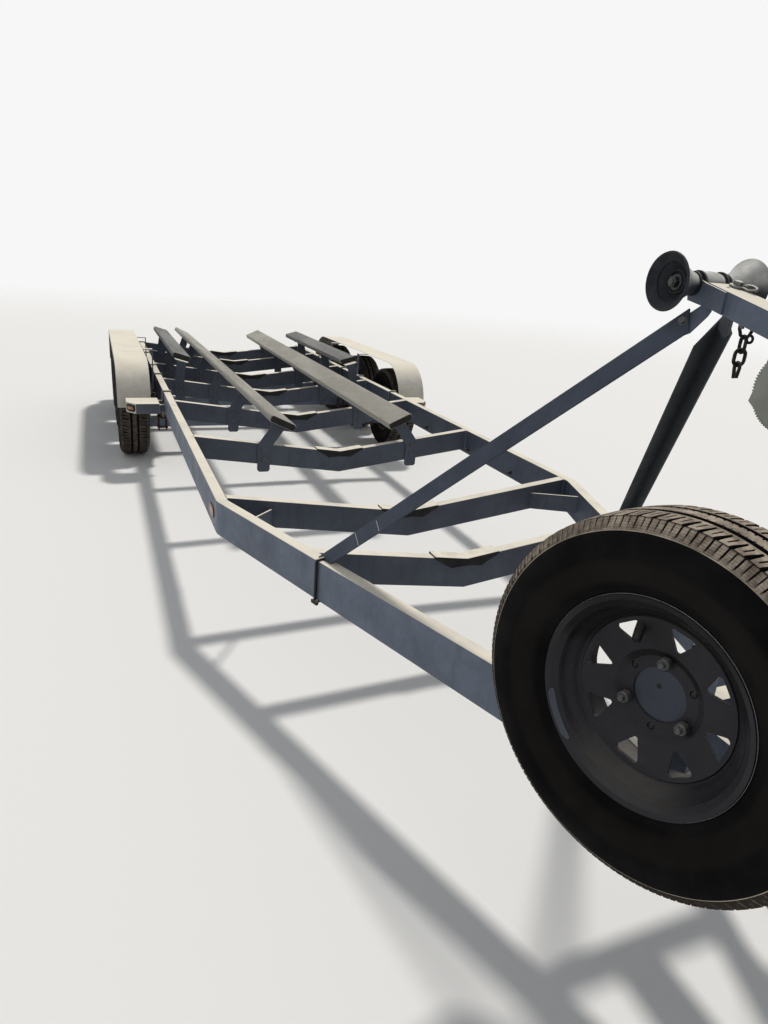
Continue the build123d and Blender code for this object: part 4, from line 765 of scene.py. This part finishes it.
def balance_weight(place):
    """Grey weight clipped along the inside of the rim's lip, thinner at its two ends."""
    bm = bmesh.new()
    # corners of its section, (x, radius), lying on the flared lip
    section = [(0.0740, 0.1935), (0.0800, 0.2006), (0.0805, 0.2045),
               (0.0825, 0.2040), (0.0836, 0.2000), (0.0772, 0.1912)]
    middle = Vector((0.0765, 0.1955))
    start, turn, count = 3.49, 0.54, 14
    rings = []
    for i in range(count + 1):
        a = start + turn * i / count
        shrink = 0.45 if i in (0, count) else 0.0
        corners = [Vector(corner).lerp(middle, shrink) for corner in section]
        rings.append([about_x(x, r, a) for x, r in corners])
    skin(bm, rings)
    bm.transform(place)
    return bm


def make_wheels():
    rubber_mesh = tyre_mesh("tyre")
    for side, side_name in ((-1, "left"), (1, "right")):
        for number, y in enumerate(AXLE_YS, start=1):
            place = wheel_place(side, y)
            name = f"{side_name}_{number}"
            body = f"road_wheel_{name}"
            cover = place_piece(f"tread_tyre_{name}", rubber_mesh, place, body)
            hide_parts(f"tyre_{name}")
            piece(f"wheel_nuts_{name}", wheel_nuts(place, range(LUG_COUNT)), "jack_zinc", "bolt_steel", body)
            piece(f"valve_stem_{name}", valve_stem(place), *BLACK, body)
            piece(f"rim_face_{name}", rim_face(place), "wheel_paint", body=body)
            piece(f"rim_highlight_{name}", rim_highlight(place), "wheel_paint", "bolt_steel", body)
    place = spare_place()
    cover = place_piece("tread_tyre_spare", tyre_mesh("sunlit_tyre"), place, "frame")
    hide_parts("spare_tyre")
    piece("spare_nuts", wheel_nuts(place, (0, 2, 4)), "jack_zinc", "dull_steel")
    piece("spare_valve_stem", valve_stem(place), *BLACK)
    piece("spare_balance_weight", balance_weight(place), "jack_zinc", "lead_grey")
    piece("spare_rim_face", rim_face(place), "wheel_paint")
    piece("spare_rim_edge", rim_highlight(place), "wheel_paint", "bolt_steel")
    piece("spare_stud_ends", stud_ends(place, (1, 3, 5)), "spring_steel", "chain_steel")
    # a black plug in the plate's small hole, painted shade
    hole = bmesh.new()
    seat = place @ pointing(CAP_HOLE, (1, 0, 0))
    lathe(hole, [(0.0046, -0.002), (0.0046, 0.0010), (0.0040, 0.0014)], seat, 20)
    piece("cap_hole_shade", hole, *BLACK)


# Bunks: boards wrapped in carpet

# columns: name, start, end (top centre line, y from the knee), width, tilt, slot
BOARDS = [
    ("inner", (0.370, 1.080, 0.703), (0.420, 5.950, 0.703), 0.170, 25.0, "carpet_light"),
    ("outer", (0.725, 3.150, 0.793), (0.725, 5.200, 0.793), 0.146, 15.8, "carpet_dark"),
]
BOARD_THICKNESS = 0.045
BOARD_EDGE = 0.014
CARPET_WAVE = 0.0012
CARPET_STEP = 0.03
# distance from the board's end, and share of the full section there
TUCKED_END = ((0.0, 0.80), (0.003, 0.93), (0.009, 1.0))


def rounded_section(half_x, half_z, radius):
    points = []
    for number, (sx, sz) in enumerate(((1, 1), (-1, 1), (-1, -1), (1, -1))):
        for k in range(5):
            a = math.pi / 2 * (number + k / 4)
            x = sx * (half_x - radius) + radius * math.cos(a)
            points.append((x, sz * (half_z - radius) + radius * math.sin(a)))
    return points


def wrapped_board(side, start, end, width, tilt, seed):
    """Carpet over a board: a slightly uneven rounded bar, tucked in at the ends."""
    start, end = (Vector((x, y + KNEE_Y, z)) for x, y, z in (start, end))
    lean = math.radians(tilt)
    up = Vector((-math.sin(lean), 0, math.cos(lean)))
    run = (end - start).normalized()
    across = up.cross(run).normalized()
    length = (end - start).length
    section = rounded_section(width / 2, BOARD_THICKNESS / 2, BOARD_EDGE)
    full = TUCKED_END[-1][0]
    count = int(length / CARPET_STEP)
    stations = list(TUCKED_END)
    stations += [(full + (length - 2 * full) * i / count, 1.0) for i in range(1, count)]
    stations += [(length - along, share) for along, share in TUCKED_END[::-1]]
    bm = bmesh.new()
    rings = []
    for along, share in stations:
        centre = start + run * along - up * BOARD_THICKNESS / 2
        tuck = (1 - share) * BOARD_EDGE
        ring = []
        for x, z in section:
            point = centre + across * (x - math.copysign(tuck, x)) + up * (z - math.copysign(tuck, z))
            wave = noise.noise(Vector((x * 30 + seed, along * 6, z * 30))) * CARPET_WAVE
            point += (across * x + up * z).normalized() * (wave - CARPET_WAVE)
            point.x *= side
            ring.append(point)
        rings.append(ring)
    for face in skin(bm, rings):
        face.material_index = 1
    return bm


def make_bunks():
    for name, start, end, width, tilt, slot in BOARDS:
        for seed, (side, side_name) in enumerate(((-1, "left"), (1, "right"))):
            bm = wrapped_board(side, start, end, width, tilt, seed * 9.7)
            made = piece(f"carpet_{name}_{side_name}", bm, slot)
            made.data.materials.append(materials["black_plastic"])
            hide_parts(f"bunk_{name}_{side_name}")


# Fasteners

U_BOLT = 0.0065
U_BOLT_REACH = RAIL_WIDTH / 2 + U_BOLT
U_BOLT_BEND = 0.012
# places of the U-bolts over the straight rails, from the knee
U_BOLT_YS = (2.500, 3.290, 3.790, 4.610, 5.460)
# bolts through the inner faces of the straight rails, from the knee
RAIL_BOLT_YS = (0.547, 1.076, 1.730, 2.700)
RAIL_BOLT_Z = 0.487
BRACE_HOOK_ALONG = 0.742
BRACE_HOOK = 0.0055
# columns: crossmembers that carry the straps, place of the straps from the middle
STRAPS = (((2, 3, 4, 5, 6, 7), 0.485), ((4, 5, 6), 0.760))
STRAP_THICKNESS = 0.008
STRAP_BOLT_DROPS = (0.034, 0.094)
WELD = 0.0042
WELD_STEP = 0.005


def u_bolt(bm, middle, across):
    """U-bolt over a rail, with a plate and two nuts under it.

    middle is on the ground under the rail, and across points out of the rail.
    """
    low = RAIL_TOP - RAIL_DEPTH - 0.034
    flank = U_BOLT_REACH - U_BOLT_BEND
    bend_z = RAIL_TOP + U_BOLT - U_BOLT_BEND
    arc = [math.pi / 8 * k for k in range(5)]
    line = [(U_BOLT_REACH, low)]
    line += [(flank + U_BOLT_BEND * math.cos(a), bend_z + U_BOLT_BEND * math.sin(a)) for a in arc]
    line += [(-flank - U_BOLT_BEND * math.sin(a), bend_z + U_BOLT_BEND * math.cos(a)) for a in arc]
    line += [(-U_BOLT_REACH, low)]
    tube(bm, [middle + across * s + WORLD_Z * z for s, z in line], U_BOLT)
    under = RAIL_TOP - RAIL_DEPTH - 0.004
    turn = Matrix.Rotation(math.atan2(across.y, across.x), 4, "Z")
    plate(bm, Matrix.Translation(middle + WORLD_Z * under) @ turn, 0.092, 0.036, 0.008)
    for s in (-U_BOLT_REACH, U_BOLT_REACH):
        bolt(bm, middle + across * s + WORLD_Z * (under - 0.004), (0, 0, -1), stud=0.006)


def make_rail_fasteners():
    bm = bmesh.new()
    dark = bmesh.new()
    rail_middle = RAIL_OUTER - RAIL_WIDTH / 2
    for side in (-1, 1):
        for y in RAIL_BOLT_YS:
            bolt(dark, (side * RAIL_INNER, y + KNEE_Y, RAIL_BOLT_Z), (-side, 0, 0), stud=0.012)
        for y in U_BOLT_YS:
            u_bolt(bm, Vector((side * rail_middle, y + KNEE_Y, 0)), Vector((side, 0, 0)))
    piece("rail_u_bolts", bm, "jack_zinc", "bolt_steel")
    piece("rail_bolts", dark, "jack_zinc", "chain_steel")


def make_brace_hooks():
    """Hook bolt through each brace's foot: over the rail, down its outer face and under its edge."""
    bm = bmesh.new()
    over = RAIL_TOP + BRACE_HOOK + 0.001
    under = RAIL_TOP - RAIL_DEPTH
    stand = BRACE_HOOK + 0.0008
    line = [(-RAIL_WIDTH - 0.020, over), (-0.006, over), (stand - 0.003, over - 0.001), (stand, over - 0.008),
            (stand, under + 0.012), (stand, under - BRACE_HOOK), (stand - 0.004, under - BRACE_HOOK - 0.002),
            (stand - 0.024, under - BRACE_HOOK - 0.002)]
    for side in (-1, 1):
        tube(bm, [rail_point(side, BRACE_HOOK_ALONG, out, z) for out, z in line], BRACE_HOOK, 12)
        inward = Vector((-side * math.cos(TONGUE), math.sin(TONGUE), 0))
        bolt(bm, rail_point(side, BRACE_HOOK_ALONG, -RAIL_WIDTH - 0.004, over), inward)
        seat = pointing(rail_point(side, BRACE_HOOK_ALONG, stand + 0.001, under - 0.006), inward)
        plate(bm, seat, 0.034, 0.014, 0.010)
    piece("brace_hooks", bm, "jack_zinc", "chain_steel")


def make_bracket_bolts():
    """Two bolts through each bunk strap and its crossmember."""
    bm = bmesh.new()
    for columns, x in STRAPS:
        for number in columns:
            front, dip = CROSSMEMBERS[number]
            y = front + KNEE_Y
            top = RAIL_TOP - dip * (1 - x / RAIL_INNER)
            for side in (-1, 1):
                for drop in STRAP_BOLT_DROPS:
                    bolt(bm, (side * x, y - STRAP_THICKNESS, top - drop), (0, -1, 0), stud=0.004)
                    bolt(bm, (side * x, y + CROSS_THICKNESS, top - drop), (0, 1, 0), stud=0.009)
    piece("bracket_bolts", bm, "jack_zinc", "dull_steel")


def bead(bm, points):
    """Rippled weld bead along a line of points."""
    fine = []
    for a, b in zip(points, points[1:]):
        a, b = Vector(a), Vector(b)
        count = max(1, int((b - a).length / WELD_STEP))
        fine += [a.lerp(b, i / count) for i in range(count)]
    fine.append(Vector(points[-1]))
    sizes = [0.86 + 0.22 * (i % 2) + random.uniform(-0.06, 0.06) for i in range(len(fine))]
    tube(bm, fine, WELD, 6, sizes=sizes)


def make_welds():
    """Beads where the V crossmembers meet the rails."""
    bm = bmesh.new()
    high = RAIL_TOP - 0.002
    low = RAIL_TOP - CROSS_DEPTH
    for front, _ in CROSSMEMBERS[1:]:
        y0 = front + KNEE_Y
        y1 = y0 + CROSS_THICKNESS
        for side in (-1, 1):
            x = side * (RAIL_INNER - 0.001)
            bead(bm, [(x, y0, high), (x, y0, low), (x, y1, low), (x, y1, high)])
    piece("frame_welds", bm, "galvanised")


# Lamps and reflectors

REFLECTOR_Y = 0.105
REFLECTOR_Z = 0.528
REFLECTOR_LONG = 0.110
REFLECTOR_HIGH = 0.050


def oblong(bm, place, length, height, depth, dome):
    """Oblong lens with half-round ends, domed outwards along the place's Z axis."""
    half = length / 2 - height / 2
    outline = []
    for a in angles(32):
        x = math.copysign(half, math.cos(a)) + height / 2 * math.cos(a)
        outline.append((x, height / 2 * math.sin(a)))
    rings = []
    for scale, z in ((1.0, 0.0), (1.0, depth), (0.94, depth + dome * 0.6), (0.75, depth + dome)):
        rings.append([place @ Vector((x * scale, y * scale, z)) for x, y in outline])
    skin(bm, rings)


def make_reflectors():
    bm = bmesh.new()
    rims = bmesh.new()
    for side in (-1, 1):
        place = Matrix.Translation((side * RAIL_OUTER, REFLECTOR_Y + KNEE_Y, REFLECTOR_Z))
        place = place @ axes_to((0, 1, 0), (0, 0, 1), (side, 0, 0))
        oblong(rims, place, REFLECTOR_LONG, REFLECTOR_HIGH, 0.003, 0.001)
        oblong(bm, place, REFLECTOR_LONG * 0.93, REFLECTOR_HIGH * 0.86, 0.005, 0.0025)
    piece("reflector_rims", rims, *BLACK)
    piece("reflector_lenses", bm, "lamp_amber")


def make_lamps():
    """Lenses in dark housings on the steps' slanted corners, in place of the plain blocks."""
    step_outer, chamfer_x, chamfer_y, top, deep = 1.205, 0.061, 0.080, 0.540, 0.075
    # columns: kind, end of the step from the knee, which way the step runs, node, slot
    for kind, near, inward, node, slot in (
        ("marker", 2.370, 1, "marker_lamps", "lamp_amber"),
        ("tail", 5.406, -1, "tail_lamps", "lamp_red"),
    ):
        housing = bmesh.new()
        glass = bmesh.new()
        for side in (-1, 1):
            x = side * (step_outer - chamfer_x / 2)
            y = near + inward * chamfer_y / 2 + KNEE_Y
            out = Vector((side * chamfer_y, -inward * chamfer_x, 0)).normalized()
            along = WORLD_Z.cross(out)
            place = Matrix.Translation((x, y, top - deep / 2)) @ axes_to(along, WORLD_Z, out)
            plate(housing, place @ Matrix.Translation((0, 0.003, -0.001)), 0.088, 0.044, 0.014, 0.004)
            plate(glass, place @ Matrix.Translation((0, 0.001, 0.0045)), 0.058, 0.022, 0.010, 0.004)
        made = piece(f"{kind}_housings", housing, *BLACK)
        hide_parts(node)
        piece(f"{kind}_lenses", glass, slot)


# Bow stand fittings

ARM_REAR = Vector((0, -1.541 + KNEE_Y, 1.619))
ARM_SLOPE = math.radians(15.6)
ARM_DEPTH = 0.0508
CHAIN_ALONG = 0.118
CHAIN_WIRE = 0.0042
LINK_LONG = 0.045
LINK_WIDE = 0.032
LINK_COUNT = 3
CHAIN_ACROSS = Vector((0.929, -0.370, 0)).normalized()
# dark rings in the gaps beside the roller's spool, painted shade; columns: near face and far face from the
# middle, radius
ROLLER_SHADE_RINGS = [(0.0322, 0.0373, 0.0310), (0.0453, 0.0500, 0.0280)]
# the right brace's heel: its head, and directions up along it and down its two legs
BRACE_HEAD = Vector((0.0611, -1.5223 + KNEE_Y, 1.5592))
BRACE_ALONG = Vector((-0.4346, -0.6025, 0.6694))
BRACE_OUTER_LEG = Vector((-0.029, -0.734, -0.679))
BRACE_INNER_LEG = Vector((-0.900, 0.315, -0.301))
# columns: below the head, start and end down the leg
SCRAPES = ((1.222, 0.003, 0.050), (1.116, 0.008, 0.047))


def arm_point(along, above=0.0, x=0.0):
    """Point on the sloping arm: along it from its rear top edge, and square to its top."""
    y = -along * math.cos(ARM_SLOPE) - above * math.sin(ARM_SLOPE)
    z = -along * math.sin(ARM_SLOPE) + above * math.cos(ARM_SLOPE)
    return ARM_REAR + Vector((x, y, z))


def brace_point(side, below, down, off=0.0):
    """Point on the outer leg of a brace: below its head, down the leg, and off its face."""
    point = BRACE_HEAD - BRACE_ALONG * below + BRACE_OUTER_LEG * down - BRACE_INNER_LEG * off
    point.x *= side
    return point


def link(bm, centre, turned, cut=False):
    """One chain link, standing on end; a cut one ends in two open stubs."""
    half = LINK_LONG / 2 - LINK_WIDE / 2
    r = LINK_WIDE / 2 - CHAIN_WIRE
    bends = [math.pi * k / 8 for k in range(9)]
    points = [(r * math.cos(a), half + r * math.sin(a)) for a in bends]
    if cut:
        line = [(r * 0.42, -half - 0.012)] + points + [(-r * 0.55, -half - 0.009)]
    else:
        line = points + [(-a, -b) for a, b in points]
    across = CHAIN_ACROSS if turned else WORLD_Z.cross(CHAIN_ACROSS)
    tube(bm, [centre + across * a + WORLD_Z * b for a, b in line], CHAIN_WIRE, 8, closed=not cut)


def make_chain():
    """Bow shackle under the arm with a short chain, its last link cut open, and a small ring."""
    bm = bmesh.new()
    top = arm_point(CHAIN_ALONG, -ARM_DEPTH)
    bow = [(0.016, 0.004), (0.0155, -0.012), (0.010, -0.027), (0.0, -0.033),
           (-0.010, -0.027), (-0.0155, -0.012), (-0.016, 0.004)]
    tube(bm, [top + CHAIN_ACROSS * a + WORLD_Z * b for a, b in bow], 0.0040)
    pitch = LINK_LONG - 2 * CHAIN_WIRE
    first = top - WORLD_Z * (0.033 + pitch / 2 - 0.0045)
    for i in range(LINK_COUNT):
        link(bm, first - WORLD_Z * (pitch - 0.007) * i, i % 2 == 1, i == LINK_COUNT - 1)
    ring = [top + Vector((0.003, -0.013, -0.034)) + about_x(0, 0.008, a) for a in angles(16)]
    tube(bm, ring, 0.0032, 8, closed=True)
    piece("bow_chain", bm, "jack_zinc", "chain_steel")


def make_arm_fittings():
    """Flat bolt with a shackle on the arm, the braces' end bolts, a black plug of painted shade in the arm's
    hole, what fills the roller's bells, and dark rings of painted shade beside its spool.
    """
    bm = bmesh.new()
    upward = Vector((0, -math.sin(ARM_SLOPE), math.cos(ARM_SLOPE)))
    seat = pointing(arm_point(0.026, 0.0, 0.024), upward)
    lathe(bm, [(0.0175, 0), (0.0175, 0.0045), (0.0160, 0.0060)], seat, 28)
    bolt(bm, seat @ Vector((0, 0, 0.0060)), upward, washer=False)
    shackle = [(0.034, 0.004, 0.034)]
    for a in (math.pi * k / 8 for k in range(9)):
        rise = math.sin(a)
        shackle.append((0.055 - 0.016 * math.cos(a), 0.008 + 0.004 * rise, 0.034 + 0.010 * rise))
    shackle += [(0.055, 0.002, 0.030), (0.040, 0.004, 0.026)]
    tube(bm, [arm_point(*point) for point in shackle], 0.0036)
    under = arm_point(CHAIN_ALONG, -ARM_DEPTH)
    bolt(bm, under + Vector((-0.014, 0.0, 0.0)), -WORLD_Z, 0.0095, 0.004)
    for side in (-1, 1):
        outward = -BRACE_INNER_LEG
        outward.x *= side
        bolt(bm, brace_point(side, 0.026, 0.019), outward, 0.0095)
    piece("bow_stand_bolts", bm, "jack_zinc", "bolt_steel")

    # a black plug in the hole on the arm, painted shade
    hole = bmesh.new()
    lathe(hole, [(0.0042, -0.004), (0.0042, 0.0003)], pointing(arm_point(0.030, 0.0, -0.006), upward), 16)
    piece("arm_hole_shade", hole, *BLACK)

    rings = bmesh.new()
    nuts = bmesh.new()
    shade_rings = bmesh.new()
    for side in (-1, 1):
        place = pointing(ROLLER_PLACE + Vector((side * BELL_FLOOR, 0, 0)), (side, 0, 0))
        lathe(rings, [(0.0300, -0.001), (0.0290, 0.004), (0.0255, 0.007), (0.0225, 0.004), (0.0215, 0.0005)],
              place, 48)
        lathe(rings, [(0.0200, -0.001), (0.0195, 0.003), (0.0165, 0.0035)], place, 40)
        bolt(nuts, place @ Vector((0, 0, 0.0035)), (side, 0, 0), 0.0160, 0.003)
        middle = pointing(ROLLER_PLACE, (side, 0, 0))
        for near, far, radius in ROLLER_SHADE_RINGS:
            lathe(shade_rings, [(radius, near), (radius, far)], middle, 40)
    piece("roller_face_rings", rings, "roller_rubber", "dark_rubber", "bow_roller")
    piece("roller_nuts", nuts, "jack_zinc", "dull_steel", "bow_roller")
    piece("roller_shade_rings", shade_rings, "roller_rubber", "dark_rubber", "bow_roller")


def make_scrapes():
    """Two pale scrapes across the left brace's outer leg."""
    bm = bmesh.new()
    for below, start, end in SCRAPES:
        middle = brace_point(-1, below, (start + end) / 2, 0.0001)
        down = brace_point(-1, below, end) - brace_point(-1, below, start)
        up = brace_point(-1, below - 0.01, start) - brace_point(-1, below, start)
        turn = axes_to(down.normalized(), up.normalized(), down.cross(up).normalized())
        plate(bm, Matrix.Translation(middle) @ turn, end - start, 0.0028, 0.0006, 0.0002)
    piece("brace_scrapes", bm, "galvanised", "pale_zinc")


# Stage

SUN_DIRECTION = Vector((0.337, 0.297, 0.893))
SUN_COLOUR = (1.0, 0.965, 0.91)
SUN_STRENGTH = 2.2
SUN_ANGLE = math.radians(6)
SKY_COLOUR = (0.95, 0.97, 1.0)
SKY_STRENGTH = 0.40
BACKGROUND = (0.93, 0.93, 0.93)
FLOOR_COLOUR = (0.80, 0.80, 0.79)
FLOOR_RADIUS = 30.0
# distances from the middle where the floor starts to fade, and where it is clear
FLOOR_FADE = (9.0, 27.0)


def light_world():
    """Even light, and a plain white where it is seen directly or in a reflection."""
    world = bpy.data.worlds.new("studio")
    bpy.context.scene.world = world
    graph = Graph(world)
    rays = graph.node("LightPath").outputs
    direct = graph.math("MAXIMUM", rays["Is Camera Ray"], rays["Is Glossy Ray"])
    direct = graph.math("MAXIMUM", direct, rays["Is Transmission Ray"])
    light = graph.fill(graph.tree.nodes["Background"], Color=SKY_COLOUR, Strength=SKY_STRENGTH).outputs[0]
    graph.show(direct, light, graph.node("Background", Color=BACKGROUND).outputs[0], "World Output")


def make_floor():
    """Plain disc that fades out far from the trailer."""
    bm = bmesh.new()
    bmesh.ops.create_circle(bm, cap_ends=True, radius=FLOOR_RADIUS, segments=96)
    mesh = bpy.data.meshes.new("floor")
    bm.to_mesh(mesh)
    bm.free()
    floor = add_object("floor", mesh)
    floor.location.z = -0.0005
    p = Paint("floor")
    place = p.split()
    p.finish(FLOOR_COLOUR, 0.9)
    fade = p.ramp(p.length(place["X"], place["Y"]), *FLOOR_FADE)
    p.show(fade, p.shader.outputs["BSDF"], p.node("BsdfTransparent").outputs["BSDF"], "Material Output")
    mesh.materials.append(p.material)


def make_stage():
    light_world()
    make_floor()
    lamp = bpy.data.lights.new("key", "SUN")
    lamp.energy = SUN_STRENGTH
    lamp.angle = SUN_ANGLE
    lamp.color = SUN_COLOUR
    key = add_object("key", lamp)
    key.rotation_mode = "QUATERNION"
    key.rotation_quaternion = SUN_DIRECTION.to_track_quat("Z", "Y")
    bpy.context.scene.view_settings.view_transform = "Standard"


make_camera()
make_stage()
dress_nodes()
make_wheels()
make_bunks()
make_rail_fasteners()
make_brace_hooks()
make_bracket_bolts()
make_welds()
make_reflectors()
make_lamps()
make_chain()
make_arm_fittings()
make_scrapes()
